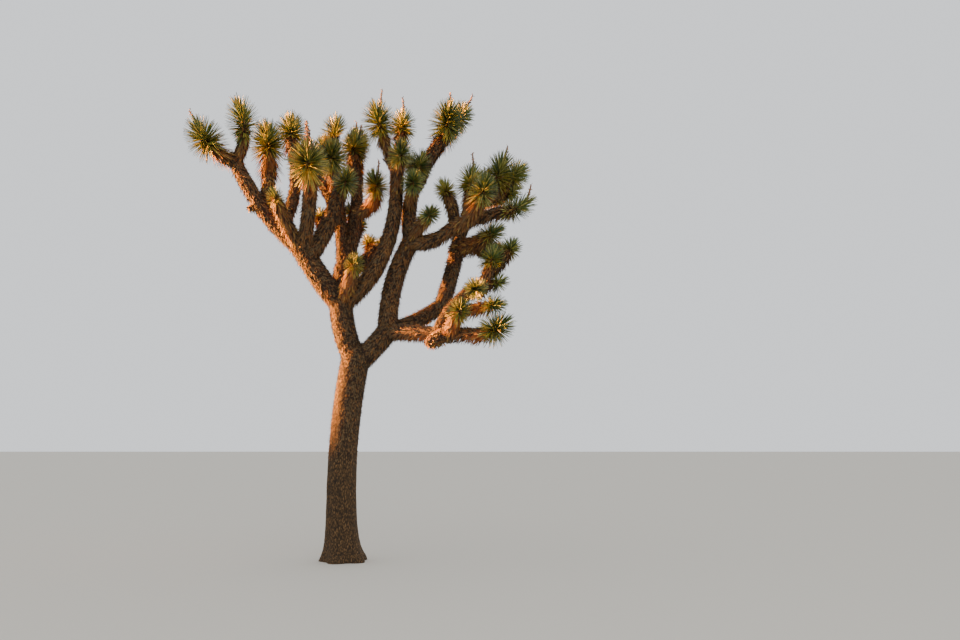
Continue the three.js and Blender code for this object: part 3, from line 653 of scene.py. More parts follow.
def bark_relief(bark):
    sizes = {"Plate width": 0.03, "Plate length": 0.12, "Crack depth": 0.008, "Swell": 0.012}
    tree, given = start_tree(f"relief of {bark.name}", sizes)
    grain = add(tree, "GeometryNodeInputNamedAttribute", {"Name": "grain"}, data_type="FLOAT_VECTOR")
    place = add(tree, "GeometryNodeInputPosition")
    size = add(tree, "ShaderNodeCombineXYZ",
               {"X": given["Plate width"], "Y": given["Plate width"], "Z": given["Plate length"]})
    wobble = add(tree, "ShaderNodeTexNoise", {"Vector": place, "Scale": 14.0}).node.outputs["Color"]
    shifted = add(tree, "ShaderNodeVectorMath", {0: wobble, 1: WOBBLE, 2: grain},
                  operation="MULTIPLY_ADD")
    cell = add(tree, "ShaderNodeVectorMath", {0: shifted, 1: size}, operation="DIVIDE")
    edge = add(tree, "ShaderNodeTexVoronoi", {"Vector": cell, "Scale": 1.0}, feature="DISTANCE_TO_EDGE")
    plate = add(tree, "ShaderNodeMapRange", {"Value": edge, "From Max": CRACK_SIDE},
                interpolation_type="SMOOTHSTEP")
    rough = add(tree, "ShaderNodeTexNoise", {"Vector": cell, "Scale": 4.0, "Detail": 3.0})
    slow = add(tree, "ShaderNodeTexNoise", {"Vector": place, "Scale": 3.5, "Detail": 1.0})
    height = add(tree, "ShaderNodeMath", {0: rough, 1: 0.5, 2: plate}, operation="MULTIPLY_ADD")
    cracks = add(tree, "ShaderNodeMath", {0: height, 1: -1.0}, operation="ADD")
    cracks = add(tree, "ShaderNodeMath", {0: cracks, 1: given["Crack depth"]}, operation="MULTIPLY")
    wave = add(tree, "ShaderNodeMath", {0: slow, 1: -0.5}, operation="ADD")
    wave = add(tree, "ShaderNodeMath", {0: wave, 1: given["Swell"], 2: cracks}, operation="MULTIPLY_ADD")
    normal = add(tree, "GeometryNodeInputNormal")
    push = add(tree, "ShaderNodeVectorMath", {0: normal, "Scale": wave}, operation="SCALE")
    stored = add(tree, "GeometryNodeStoreNamedAttribute",
                 {"Geometry": given["Geometry"], "Name": "plate", "Value": plate},
                 data_type="FLOAT", domain="POINT")
    moved = add(tree, "GeometryNodeSetPosition", {"Geometry": stored, "Offset": push})
    smooth = add(tree, "GeometryNodeSetShadeSmooth", {"Geometry": moved, "Shade Smooth": True})
    clad = add(tree, "GeometryNodeSetMaterial", {"Geometry": smooth, "Material": bark})
    add(tree, "NodeGroupOutput", {"Geometry": clad})
    return tree


def cut_level(mesh):
    """Cuts a mesh off flat at ground level and closes the cut."""
    work = bmesh.new()
    work.from_mesh(mesh)
    everything = work.verts[:] + work.edges[:] + work.faces[:]
    cut = bmesh.ops.bisect_plane(work, geom=everything, plane_co=ROOT, plane_no=(0, 0, 1), clear_inner=True)
    rim = [edge for edge in cut["geom_cut"] if isinstance(edge, bmesh.types.BMEdge)]
    bmesh.ops.edgeloop_fill(work, edges=rim)
    bmesh.ops.recalc_face_normals(work, faces=work.faces[:])
    work.to_mesh(mesh)
    work.free()


# %% [markdown]
# Each part of the tree gets a skin of its own. The trunk shows its bark bare and near the eye, so it has
# finer squares and smaller plates than the limbs, whose bark is only seen between dead leaves.

# %% Grow the bark
BARE, COVERED = bark_relief(BARK), bark_relief(SHADE_DARKENED_BARK)
FINE, COARSE = dict(sides=48, voxel=0.0085), dict(sides=20, voxel=0.013)
SMALL_PLATES = {"Plate width": 0.018, "Plate length": 0.055, "Crack depth": 0.006}
REGION_NAMES = ["trunk", "left", "rear", "middle", "right"]
bark = {}
for region in REGION_NAMES:
    lines = [line for line in [*limbs.values(), *stubs, *stems] if line.region == region]
    is_trunk = region == "trunk"
    blank = skin(lines, **(FINE if is_trunk else COARSE))
    tell(blank, lines)
    bark[region] = grow(BARE if is_trunk else COVERED, blank, f"bark_{region}",
                        SMALL_PLATES if is_trunk else {})
    print(bark[region].name, len(lines), "lines,", triangles(bark[region]), "triangles")
cut_level(bark["trunk"].data)

# %% [markdown]
# Every leaf, live or dead, is the same kind of thing: a long closed blade that ends in a spine. One
# function makes the shapes, one metre long and one metre wide, so that a tree of nodes can give each copy
# its real length and width. Each kind has a few shapes, straight and curled, kept in a collection of its
# own that the nodes pick from.

# %% Leaf shapes
def blade(name, stations, section, curl, spine):
    """A closed blade along Y: rings at the stations (place, width), then a point."""
    work = bmesh.new()
    zone = work.faces.layers.int.new("zone")
    rings = []
    for along, width in stations:
        lift = curl * along ** 2
        rings.append([work.verts.new((x * width, along, z * width + lift)) for x, z in section])
    tip = work.verts.new((0, 1, curl))
    work.faces.new(rings[0])
    for low, high in zip(rings, rings[1:]):
        for j in range(len(section)):
            work.faces.new((low[j - 1], high[j - 1], high[j], low[j]))
    for j in range(len(section)):
        face = work.faces.new((rings[-1][j - 1], tip, rings[-1][j]))
        face[zone] = 1 if spine else 0
    bmesh.ops.recalc_face_normals(work, faces=work.faces[:])
    bmesh.ops.triangulate(work, faces=work.faces[:])
    return baked(work, name)


def shape_set(name, meshes):
    """A collection of shapes for nodes to pick from."""
    made = bpy.data.collections.new(name)
    for mesh in meshes:
        made.objects.link(bpy.data.objects.new(mesh.name, mesh))
    return made


def leaf_set(kind, stations, section, curls, spine=False):
    """A set of leaves that are alike but for their curl."""
    return shape_set(f"{kind} leaf shapes", [
        blade(f"{kind}_leaf_{i}", stations, section, curl, spine) for i, curl in enumerate(curls)])


CHANNEL = [(-0.5, 0.14), (0, 0), (0.5, 0.14), (0, -0.24)]  # a grooved top and a keel
FOLDED = [(-0.5, 0), (0.5, 0), (0, -0.2)]
LIVE_SHAPES = leaf_set("live", [(0, 1), (0.5, 0.84), (0.92, 0.32)], CHANNEL, (-1.2, -0.3, 0.7), spine=True)
DRY_SHAPES = leaf_set("dry", [(0, 1), (0.4, 0.85), (0.8, 0.4)], FOLDED, (-1.6, -0.4, 0.9))
COAT_SHAPES = leaf_set("coat", [(-0.12, 1), (0.55, 0.8)], FOLDED, (-0.6, 0.3, 1.1))

# %% [markdown]
# The coat is the dead leaves that still hang on a limb. On the real tree they lie like thatch, each one
# pointing back down the limb and overlapping the next, and those under a level limb hang free. It could
# be a hair system, but the export drops hair. So a Geometry Nodes tree scatters points evenly over the
# skin and sets a leaf on each: along the limb, lifted a little, and pulled down where the skin faces down.

# %% Nodes for the coat of dead leaves
def deal(tree, geometry, shade, palette):
    """Gives each face the material that its number picks. A material may stand under several numbers."""
    for number, its_material in palette.items():
        chosen = add(tree, "FunctionNodeCompare", {2: shade, 3: number}, data_type="INT", operation="EQUAL")
        geometry = add(tree, "GeometryNodeSetMaterial",
                       {"Geometry": geometry, "Selection": chosen, "Material": its_material})
    return geometry


def place_shapes(tree, given, points, turn, scale, last, seed):
    """Sets one of the given shapes on each point, picked by chance from number 0 to the last."""
    shapes = add(tree, "GeometryNodeCollectionInfo",
                 {"Collection": given["Shapes"], "Separate Children": True, "Reset Children": True})
    pick = add(tree, "FunctionNodeRandomValue", {4: 0, 5: last, "Seed": seed}, data_type="INT")
    return add(tree, "GeometryNodeInstanceOnPoints",
               {"Points": points, "Instance": shapes, "Pick Instance": True, "Instance Index": pick,
                "Rotation": turn, "Scale": scale})


YOUNG_SHADES = 7.0  # how many shades on the list a young coat has, counted from the first
PACKING = 3.0  # how many points to try for on a square as wide as the spacing
STRAY = 0.22  # how far a leaf may lean to either side, as a slope
HANGING_LENGTH = 0.8  # how much longer a leaf is that hangs from the underside


def coat_tree(palette):
    sizes = {"Shapes": None, "Spacing": 0.018, "Width": 0.018, "Least lift": 0.15, "Most lift": 0.8,
             "Hang": 1.3, "Starts at": 0.05, "Full at": 0.1, "Seed": 1}
    tree, given = start_tree("coat of dead leaves", sizes)
    down = add(tree, "GeometryNodeInputNamedAttribute", {"Name": "down"}, data_type="FLOAT_VECTOR")
    coat = add(tree, "GeometryNodeInputNamedAttribute", {"Name": "coat"}, data_type="FLOAT")
    place = add(tree, "GeometryNodeInputPosition")
    height = add(tree, "ShaderNodeSeparateXYZ", {0: place}).node.outputs["Z"]
    share = add(tree, "ShaderNodeMapRange",
                {"Value": height, "From Min": given["Starts at"], "From Max": given["Full at"]})
    area = add(tree, "ShaderNodeMath", {0: given["Spacing"], 1: 2.0}, operation="POWER")
    most = add(tree, "ShaderNodeMath", {0: PACKING, 1: area}, operation="DIVIDE")
    points = add(tree, "GeometryNodeDistributePointsOnFaces",
                 {"Mesh": given["Geometry"], "Distance Min": given["Spacing"], "Density Max": most,
                  "Density Factor": share, "Seed": given["Seed"]}, distribute_method="POISSON")
    normal = points.node.outputs["Normal"]
    lift = add(tree, "FunctionNodeRandomValue",
               {2: given["Least lift"], 3: given["Most lift"], "Seed": 2}, data_type="FLOAT")
    stray = add(tree, "FunctionNodeRandomValue", {2: -STRAY, 3: STRAY, "Seed": 3}, data_type="FLOAT")
    facing = add(tree, "ShaderNodeVectorMath", {0: normal, 1: down}, operation="DOT_PRODUCT")
    flat = add(tree, "ShaderNodeVectorMath", {0: normal, "Scale": facing}, operation="SCALE")
    way = add(tree, "ShaderNodeVectorMath", {0: down, 1: flat}, operation="SUBTRACT")
    sideways = add(tree, "ShaderNodeVectorMath", {0: normal, 1: down}, operation="CROSS_PRODUCT")
    sideways = add(tree, "ShaderNodeVectorMath", {0: sideways, "Scale": stray}, operation="SCALE")
    outward = add(tree, "ShaderNodeVectorMath", {0: normal, "Scale": lift}, operation="SCALE")
    under = add(tree, "ShaderNodeVectorMath", {0: normal, 1: (0, 0, -1)}, operation="DOT_PRODUCT")
    under = add(tree, "ShaderNodeMath", {0: under, 1: 0.0}, operation="MAXIMUM")
    pull = add(tree, "ShaderNodeMath", {0: under, 1: given["Hang"]}, operation="MULTIPLY")
    hang = add(tree, "ShaderNodeVectorMath", {0: (0, 0, -1), "Scale": pull}, operation="SCALE")
    for part in (sideways, outward, hang):
        way = add(tree, "ShaderNodeVectorMath", {0: way, 1: part}, operation="ADD")
    turn = add(tree, "FunctionNodeAxesToRotation", {0: way, 1: normal},
               primary_axis="Y", secondary_axis="Z")
    longer = add(tree, "FunctionNodeRandomValue", {2: 0.65, 3: 1.25, "Seed": 4}, data_type="FLOAT")
    longer = add(tree, "ShaderNodeMath", {0: under, 1: HANGING_LENGTH, 2: longer},
                 operation="MULTIPLY_ADD")
    length = add(tree, "ShaderNodeMath", {0: coat, 1: longer}, operation="MULTIPLY")
    wider = add(tree, "FunctionNodeRandomValue", {2: 0.75, 3: 1.2, "Seed": 5}, data_type="FLOAT")
    width = add(tree, "ShaderNodeMath", {0: given["Width"], 1: wider}, operation="MULTIPLY")
    scale = add(tree, "ShaderNodeCombineXYZ", {"X": width, "Y": length, "Z": width})
    leaves = place_shapes(tree, given, points, turn, scale, last=2, seed=6)
    age = add(tree, "GeometryNodeInputNamedAttribute", {"Name": "age"}, data_type="FLOAT")
    shade = add(tree, "FunctionNodeRandomValue", {2: 0.0, 3: YOUNG_SHADES, "Seed": 7}, data_type="FLOAT")
    shade = add(tree, "ShaderNodeMath", {0: age, 1: len(palette) - YOUNG_SHADES, 2: shade},
                operation="MULTIPLY_ADD")
    shade = add(tree, "ShaderNodeMath", {0: shade, 1: len(palette) - 1.0}, operation="MINIMUM")
    leaves = add(tree, "GeometryNodeStoreNamedAttribute",
                 {"Geometry": leaves, "Name": "shade", "Value": shade}, data_type="INT", domain="INSTANCE")
    real = add(tree, "GeometryNodeRealizeInstances", {"Geometry": leaves})
    shade = add(tree, "GeometryNodeInputNamedAttribute", {"Name": "shade"}, data_type="INT")
    add(tree, "NodeGroupOutput", {"Geometry": deal(tree, real, shade, dict(enumerate(palette)))})
    return tree


# %% [markdown]
# Young dead leaves are straw and tan, and old ones weather to grey and dark brown. The list of shades runs
# from young to old, and a leaf's place on it follows the age of the limb there. The trunk has lost its
# leaves up to about the height of a person, and above that its coat is short and thin.

# %% Grow the coat
COAT_MIX = ["straw", "tan", "rosy", "tan", "straw", "russet", "dark", "tan", "grey", "tan", "rosy",
            "grey", "dark", "grey", "dark", "grey", "tan", "dark", "grey", "grey"]
COAT = coat_tree([DRY[shade] for shade in COAT_MIX])
SHORT_COAT = {"Spacing": 0.016, "Width": 0.016, "Starts at": 1.1, "Full at": 2.2, "Least lift": 0.1,
              "Most lift": 0.7}
coats = {}
for number, region in enumerate(REGION_NAMES):
    sizes = {"Shapes": COAT_SHAPES, "Seed": number + 1}
    if region == "trunk":
        sizes |= SHORT_COAT
    coats[region] = grow(COAT, bark[region], f"dead_leaf_coat_{region}", sizes, keep_host=True)
    print(coats[region].name, triangles(coats[region]), "triangles")

# %% [markdown]
# A ball of live leaves is a spiral. Each new leaf of a real rosette stands a golden angle round from the
# one before, young ones upright at the tip and old ones bent back further down the stem. The same rule
# makes the directions here. As in the part's source, a leaf is tried shorter, then skipped, where its tip
# would leave the ball's own space or the leaf would meet a limb. The oldest leaves are dry and make the
# skirt under the ball.

# %% The spiral of leaves, and where there is no room
GOLDEN_ANGLE = math.pi * (3 - math.sqrt(5))
DESCENT = 0.34  # how far down the stem the lower leaves start, in reaches, unless a row says otherwise
LEAF_SPREAD = (0.92, 1.08)  # how far the leaves reach, as shares of the ball's reach
RISE_SCATTER, TURN_SCATTER = 0.05, 0.12
SEAT_DEPTH = 0.7  # how far out in the stem a leaf has its root, in radii
TRIALS = (1, 0.82, 0.66)  # the lengths that a leaf is tried at
SPACE_GAP, LIMB_GAP = 0.0004, 0.012  # how clear a leaf stays of other masses, and of limbs
TESTED_AT = (0.4, 0.7, 1.0)  # the shares of a leaf's length where its gap to a limb is measured
FAR_APART = 1.2  # balls further apart than this can't meet
FAR_OFF = 3  # and limbs further off than this, in reaches, can't be met
LINE_STEP = 0.04

wood = []  # points along each limb and stem, the radius there, and the mass that it belongs to
for line in [*limbs.values(), *stems]:
    t = np.linspace(0, 1, max(2, int(line.length() / LINE_STEP)))
    wood.append((line.point(t), line.radius(t), line.mass))


def in_own_space(tips, tuft):
    """True where a tip is nearer to this ball than to any of another mass, allowing for their size."""
    middle = np.array(tuft["middle"])
    own = ((tips - middle) ** 2).sum(1) - tuft["reach"] ** 2
    free = np.ones(len(tips), bool)
    for other in tufts:
        its_middle = np.array(other["middle"])
        apart = np.linalg.norm(its_middle - middle)
        if other["mass"] != tuft["mass"] and apart < FAR_APART:
            its = ((tips - its_middle) ** 2).sum(1) - other["reach"] ** 2
            free &= (its - own) / (2 * apart) > SPACE_GAP
    return free


def clear_of_limbs(roots, tips, tuft):
    """True where a leaf meets no limb and no stem of another mass on its way."""
    middle = np.array(tuft["middle"])
    places, radii = [], []
    for points, radius, mass in wood:
        near = np.linalg.norm(points - middle, axis=1) < FAR_OFF * tuft["reach"]
        if mass != tuft["mass"] and near.any():
            places.append(points[near])
            radii.append(radius[near])
    free = np.ones(len(tips), bool)
    if not places:
        return free
    places, radii = np.vstack(places), np.concatenate(radii)
    for share in TESTED_AT:
        spots = roots + share * (tips - roots)
        gaps = np.linalg.norm(spots[:, None] - places[None], axis=2) - radii
        free &= gaps.min(axis=1) > LIMB_GAP
    return free


def spiral(tuft, count, highest, lowest, random, further):
    """Roots and aims of the leaves between two angles, each a golden angle on from the last."""
    stem, reach = tuft["stem"], tuft["reach"]
    number = np.arange(count) + 0.5
    rise = highest - (highest - lowest) * number / count
    rise = np.clip(rise + random.normal(0, RISE_SCATTER, count), -0.99, 0.995)
    turn = GOLDEN_ANGLE * number + random.normal(0, TURN_SCATTER, count)
    flat = np.sqrt(1 - rise ** 2)
    back = (tuft.get("descent", DESCENT) * (1 - rise) + further * random.random(count)) * reach
    t = np.clip(1 - back / stem.length(), 0, 1)
    axis, foot = stem.heading(t), stem.point(t)
    up = np.array([0.0, 0.0, 1.0]) if abs(axis[0][2]) < 0.9 else np.array([0.0, 1.0, 0.0])
    east = np.cross(axis, up)
    east /= np.linalg.norm(east, axis=1, keepdims=True)
    north = np.cross(axis, east)
    out = east * np.cos(turn)[:, None] + north * np.sin(turn)[:, None]
    aim = out * flat[:, None] + axis * rise[:, None]
    root = foot + out * (SEAT_DEPTH * stem.radius(t) * np.minimum(1, 1.6 * flat))[:, None]
    share = random.uniform(*LEAF_SPREAD, count)
    return root, aim, foot, axis, share


def leaves_of(tuft, count, highest, lowest, random, further=0.0):
    """The leaves that have room: roots, spans, the way their upper sides face, and their rise."""
    root, aim, foot, axis, share = spiral(tuft, count, highest, lowest, random, further)
    tip = np.full_like(root, np.nan)
    for trial in TRIALS:
        tried = foot + aim * (trial * share * tuft["reach"])[:, None]
        fits = in_own_space(tried, tuft) & clear_of_limbs(root, tried, tuft)
        take = fits & np.isnan(tip[:, 0])
        tip[take] = tried[take]
    kept = ~np.isnan(tip[:, 0])
    rise = (aim * axis).sum(1)[kept]
    return root[kept], (tip - root)[kept], axis[kept], rise


print(len(wood), "limbs and stems to keep clear of")

# %% [markdown]
# Old leaves yellow before they die, so a leaf's shade follows its age, which is its place on the spiral,
# with some chance in it. A few balls in the photograph are yellower than the rest, partly with age and
# partly as painted sunlight, and their rows say so. The shades are dealt out as whole leaves of plain
# colour, not as a pattern laid over the crown.

# %% Deal out the shades by age, and list the seats of all leaves
LIVE_NAMES, DRY_NAMES = list(LIVE), list(DRY)
# Each mix holds dark green leaves as painted shade between the leaves.
LIVE_AGES = [  # up to what age, and the shades to pick from
    # Each mix also holds pale straw leaves as painted highlights on lit leaves.
    (0.22, ["blue", "green", "painted_shade", "green", "olive", "straw"]),
    (0.42, ["blue", "green", "painted_shade", "olive", "green", "straw", "blue"]),
    (0.6, ["blue", "green", "olive", "painted_shade", "yellow", "straw", "olive"]),
    (0.76, ["green", "olive", "yellow", "yellow", "gold", "straw", "painted_shade"]),
    (9, ["olive", "gold", "yellow", "gold", "painted_shade"]),
]
SKIRT_MIX = ["rosy", "rust", "tan", "rust", "straw", "russet"]
AGE_SCATTER = 0.07
LIVE_LEAVES, DRY_LEAVES = 370, 150  # on a ball of the full reach
FULL_REACH, MOST_LEAVES = 0.24, 1.15
CROWDING = 1.2  # the leaves on a ball follow this power of its reach
FIRST_SEED = 1000
LOWEST_LIVE, LOWEST_DRY = -0.62, -0.97  # cosine of the angle between the stem and the lowest leaves
SKIRT_DEPTH = 0.9  # how much further down the stem the leaves of a skirt start, in reaches


def shades_by_age(age, random):
    picked = []
    for its_age in age:
        mix = next(mix for limit, mix in LIVE_AGES if its_age < limit)
        picked.append(LIVE_NAMES.index(mix[random.integers(len(mix))]))
    return picked


def seats(name, rows):
    """A mesh of loose points that carry what a leaf needs: its span, its facing and its shade."""
    root, span, face, shade = (np.concatenate([row[k] for row in rows]) for k in range(4))
    mesh = bpy.data.meshes.new(name)
    mesh.from_pydata(root.tolist(), [], [])
    put(mesh, "span", "FLOAT_VECTOR", span)
    put(mesh, "face", "FLOAT_VECTOR", face)
    put(mesh, "shade", "INT", shade)
    return show(name, mesh)


live_rows = {region: [] for region in REGION_NAMES}
dry_rows = {region: [] for region in REGION_NAMES}
for number, tuft in enumerate(tufts):
    random = np.random.default_rng(FIRST_SEED + number)
    size = min(MOST_LEAVES, (tuft["reach"] / FULL_REACH) ** CROWDING)
    root, span, face, rise = leaves_of(tuft, int(LIVE_LEAVES * size), 1, LOWEST_LIVE, random)
    age = (1 - rise) / 2 + tuft.get("gold", 0) + random.normal(0, AGE_SCATTER, len(rise))
    live_rows[tuft["region"]].append((root, span, face, shades_by_age(age, random)))
    dry_count = int(DRY_LEAVES * size * tuft.get("skirt", 1))
    root, span, face, rise = leaves_of(tuft, dry_count, LOWEST_LIVE, LOWEST_DRY, random, SKIRT_DEPTH)
    picked = [DRY_NAMES.index(SKIRT_MIX[k]) for k in random.integers(len(SKIRT_MIX), size=len(root))]
    dry_rows[tuft["region"]].append((root, span, face, picked))
print("live leaves", sum(len(row[0]) for rows in live_rows.values() for row in rows),
      "skirt leaves", sum(len(row[0]) for rows in dry_rows.values() for row in rows))

# %% [markdown]
# The seats now grow their leaves. The tree of nodes turns each shape so that its length follows the span
# and its groove faces the stem's tip, scales it to the real length and width, and makes the copies real.

# %% Nodes that set a leaf on every seat
def leaf_tree(name, palette, spine=None):
    sizes = {"Shapes": None, "Width": 0.02, "Least width": 0.45, "Width for a metre": 2.3, "Seed": 1}
    tree, given = start_tree(name, sizes)
    span = add(tree, "GeometryNodeInputNamedAttribute", {"Name": "span"}, data_type="FLOAT_VECTOR")
    face = add(tree, "GeometryNodeInputNamedAttribute", {"Name": "face"}, data_type="FLOAT_VECTOR")
    length = add(tree, "ShaderNodeVectorMath", {0: span}, operation="LENGTH")
    wider = add(tree, "FunctionNodeRandomValue", {2: 0.85, 3: 1.15, "Seed": given["Seed"]},
                data_type="FLOAT")
    width = add(tree, "ShaderNodeMath", {0: given["Width"], 1: wider}, operation="MULTIPLY")
    slim = add(tree, "ShaderNodeMath",
               {0: length, 1: given["Width for a metre"], 2: given["Least width"]},
               operation="MULTIPLY_ADD")
    width = add(tree, "ShaderNodeMath", {0: width, 1: slim}, operation="MULTIPLY")
    scale = add(tree, "ShaderNodeCombineXYZ", {"X": width, "Y": length, "Z": width})
    turn = add(tree, "FunctionNodeAxesToRotation", {0: span, 1: face},
               primary_axis="Y", secondary_axis="Z")
    leaves = place_shapes(tree, given, given["Geometry"], turn, scale, last=2, seed=8)
    real = add(tree, "GeometryNodeRealizeInstances", {"Geometry": leaves})
    shade = add(tree, "GeometryNodeInputNamedAttribute", {"Name": "shade"}, data_type="INT")
    real = deal(tree, real, shade, dict(enumerate(palette)))
    if spine:
        zone = add(tree, "GeometryNodeInputNamedAttribute", {"Name": "zone"}, data_type="INT")
        real = deal(tree, real, zone, {1: spine})
    add(tree, "NodeGroupOutput", {"Geometry": real})
    return tree


LIVE_TREE = leaf_tree("live leaves", LIVE.values(), SPINE)
DRY_TREE = leaf_tree("skirt of dry leaves", DRY.values())
leaves, skirts = {}, {}
for region in REGION_NAMES:
    if not live_rows[region]:
        continue
    points = seats("live seats", live_rows[region])
    leaves[region] = grow(LIVE_TREE, points, f"live_leaves_{region}",
                          {"Shapes": LIVE_SHAPES, "Width": 0.0165})
    points = seats("dry seats", dry_rows[region])
    skirts[region] = grow(DRY_TREE, points, f"dry_leaf_skirts_{region}",
                          {"Shapes": DRY_SHAPES, "Width": 0.017})
    print(region, triangles(leaves[region]), "live,", triangles(skirts[region]), "dry triangles")

# %% [markdown]
# A flower stalk that has dried out is a crooked rod with short side pegs, and on some pegs the husk of a
# seed capsule is left. One ball still holds its whole bunch of husks. The stalk is a curve with a round
# section swept along it, and the pegs follow the curve at the golden angle, so both come from one tree.
# The peg itself is made once, one metre long, and the tree sets copies of it in their real size.

# %% Pegs and husks
def peg(name, husk_size):
    """A short side branch along Z, with a husk at its end that is half as long again as wide."""
    work = bmesh.new()
    zone = work.faces.layers.int.new("zone")
    bmesh.ops.create_cone(work, cap_ends=True, segments=4, radius1=0.09, radius2=0.06, depth=0.8)
    bmesh.ops.translate(work, verts=work.verts[:], vec=(0, 0, 0.3))
    stick = set(work.faces)
    made = bmesh.ops.create_icosphere(work, subdivisions=1, radius=husk_size)
    for vert in made["verts"]:
        vert.co.z = vert.co.z * 1.5 + 0.8
    for face in work.faces:
        face[zone] = 0 if face in stick else 1
    return baked(work, name)


PEGS = shape_set("stalk pegs", [peg("peg_with_husk", 0.3), peg("peg_broken", 0.16)])
HUSKS = shape_set("seed husks", [peg("husk_open", 0.26), peg("husk_shut", 0.2)])

# %% [markdown]
# The tree sweeps the rod along the curve, thinner towards its tip, and marks points along it. At each
# point it turns the curve's normal by one more golden angle and sets a peg that way, which leans up the
# stalk by chance.

# %% Nodes for a stalk
def stalk_tree():
    sizes = {"Shapes": None, "Foot radius": 0.02, "Tip radius": 0.008, "Peg spacing": 0.014,
             "Peg length": 0.042, "Tip share": 0.6, "Seed": 1}
    tree, given = start_tree("dry flower stalk", sizes)
    along = add(tree, "GeometryNodeSplineParameter")
    radius = add(tree, "ShaderNodeMix", {0: along, 2: given["Foot radius"], 3: given["Tip radius"]})
    line = add(tree, "GeometryNodeSetCurveRadius", {"Curve": given["Geometry"], "Radius": radius})
    circle = add(tree, "GeometryNodeCurvePrimitiveCircle", {"Resolution": 7, "Radius": 1.0}, mode="RADIUS")
    rod = add(tree, "GeometryNodeCurveToMesh",
              {"Curve": line, "Profile Curve": circle, "Scale": radius, "Fill Caps": True})
    rod = add(tree, "GeometryNodeSetMaterial", {"Geometry": rod, "Material": STALK})
    marked = add(tree, "GeometryNodeStoreNamedAttribute",
                 {"Geometry": given["Geometry"], "Name": "along", "Value": along},
                 data_type="FLOAT", domain="POINT")
    points = add(tree, "GeometryNodeCurveToPoints",
                 {"Curve": marked, "Length": given["Peg spacing"]}, mode="LENGTH")
    tangent, normal = points.node.outputs["Tangent"], points.node.outputs["Normal"]
    angle = add(tree, "ShaderNodeMath", {0: add(tree, "GeometryNodeInputIndex"), 1: GOLDEN_ANGLE},
                operation="MULTIPLY")
    spin = add(tree, "FunctionNodeAxisAngleToRotation", {"Axis": tangent, "Angle": angle})
    outward = add(tree, "FunctionNodeRotateVector", {"Vector": normal, "Rotation": spin})
    rise = add(tree, "FunctionNodeRandomValue", {2: 0.2, 3: 1.1, "Seed": given["Seed"]}, data_type="FLOAT")
    upward = add(tree, "ShaderNodeVectorMath", {0: tangent, "Scale": rise}, operation="SCALE")
    way = add(tree, "ShaderNodeVectorMath", {0: outward, 1: upward}, operation="ADD")
    turn = add(tree, "FunctionNodeAxesToRotation", {0: way, 1: outward},
               primary_axis="Z", secondary_axis="X")
    longer = add(tree, "FunctionNodeRandomValue", {2: 0.6, 3: 1.2, "Seed": 3}, data_type="FLOAT")
    share = add(tree, "GeometryNodeInputNamedAttribute", {"Name": "along"}, data_type="FLOAT")
    taper = add(tree, "ShaderNodeMapRange", {"Value": share, "To Min": 1.0, "To Max": given["Tip share"]})
    size = add(tree, "ShaderNodeMath", {0: given["Peg length"], 1: longer}, operation="MULTIPLY")
    size = add(tree, "ShaderNodeMath", {0: size, 1: taper}, operation="MULTIPLY")
    size = add(tree, "ShaderNodeCombineXYZ", {"X": size, "Y": size, "Z": size})
    pegs = place_shapes(tree, given, points, turn, size, last=1, seed=5)
    dark = add(tree, "FunctionNodeRandomValue", {4: 0, 5: 3, "Seed": 6}, data_type="INT")
    pegs = add(tree, "GeometryNodeStoreNamedAttribute",
               {"Geometry": pegs, "Name": "shade", "Value": dark}, data_type="INT", domain="INSTANCE")
    pegs = add(tree, "GeometryNodeRealizeInstances", {"Geometry": pegs})
    shade = add(tree, "GeometryNodeInputNamedAttribute", {"Name": "shade"}, data_type="INT")
    zone = add(tree, "GeometryNodeInputNamedAttribute", {"Name": "zone"}, data_type="INT")
    pegs = deal(tree, pegs, shade, {0: OLD_HUSK, 1: HUSK, 2: HUSK, 3: HUSK})
    pegs = deal(tree, pegs, zone, {0: STALK})
    joined = tree.nodes.new("GeometryNodeJoinGeometry")
    tree.links.new(rod, joined.inputs[0])
    tree.links.new(pegs, joined.inputs[0])
    add(tree, "NodeGroupOutput", {"Geometry": joined.outputs[0]})
    return tree


STALKS = stalk_tree()
print("nodes in the tree for a stalk", len(STALKS.nodes))

# %% [markdown]
# A dried stalk is never quite straight. Each one stands on the middle of its ball, leans as its row says,
# bows a little to one side and wavers by a few millimetres.

# %% Flower stalks and the bunch of seeds
STALK_STEPS = 8
STALK_BOW, STALK_WAVER = 0.012, 0.003


def stalk_curves(name, rows):
    """One curve object with a slightly crooked line for each stalk."""
    curve = bpy.data.curves.new(name, "CURVE")
    curve.dimensions = "3D"
    random = np.random.default_rng(77)
    for foot, tip in rows:
        spline = curve.splines.new("POLY")
        spline.points.add(STALK_STEPS)
        for k in range(STALK_STEPS + 1):
            bow = STALK_BOW * math.sin(math.pi * k / STALK_STEPS)
            waver = random.normal(0, STALK_WAVER, 3)
            spot = foot + (tip - foot) * k / STALK_STEPS + waver + (bow, 0, 0)
            spline.points[k].co = (*spot, 1)
    piece = bpy.data.objects.new(name, curve)
    bpy.context.scene.collection.objects.link(piece)
    return piece


bare, laden = [], []
for tuft in tufts:
    for tilt, length, *load in tuft.get("stalks", []):
        foot = np.array(tuft["middle"])
        up = np.array((math.sin(math.radians(tilt)), 0, math.cos(math.radians(tilt))))
        (laden if load else bare).append((foot, foot + up * length))
bare_stalks = grow(STALKS, stalk_curves("bare lines", bare), "flower_stalks", {"Shapes": PEGS})
seed_bunch = grow(STALKS, stalk_curves("laden line", laden), "seed_bunch",
                  {"Shapes": HUSKS, "Peg spacing": 0.003, "Peg length": 0.085, "Tip share": 0.25})
print("stalks", triangles(bare_stalks), "seed bunch", triangles(seed_bunch), "triangles")

# %% [markdown]
# Every piece is now tied to the frame: it rides on the tree's one body, and the CAD solids that the bark,
# coat and leaves stand for are hidden. The bark stands for the limbs, and all that grows in a mass stands
# for that mass.

# %% Ride and replace
def masses_of(region):
    return [name for name, row in MASSES.items() if limbs[row[0]].region == region]


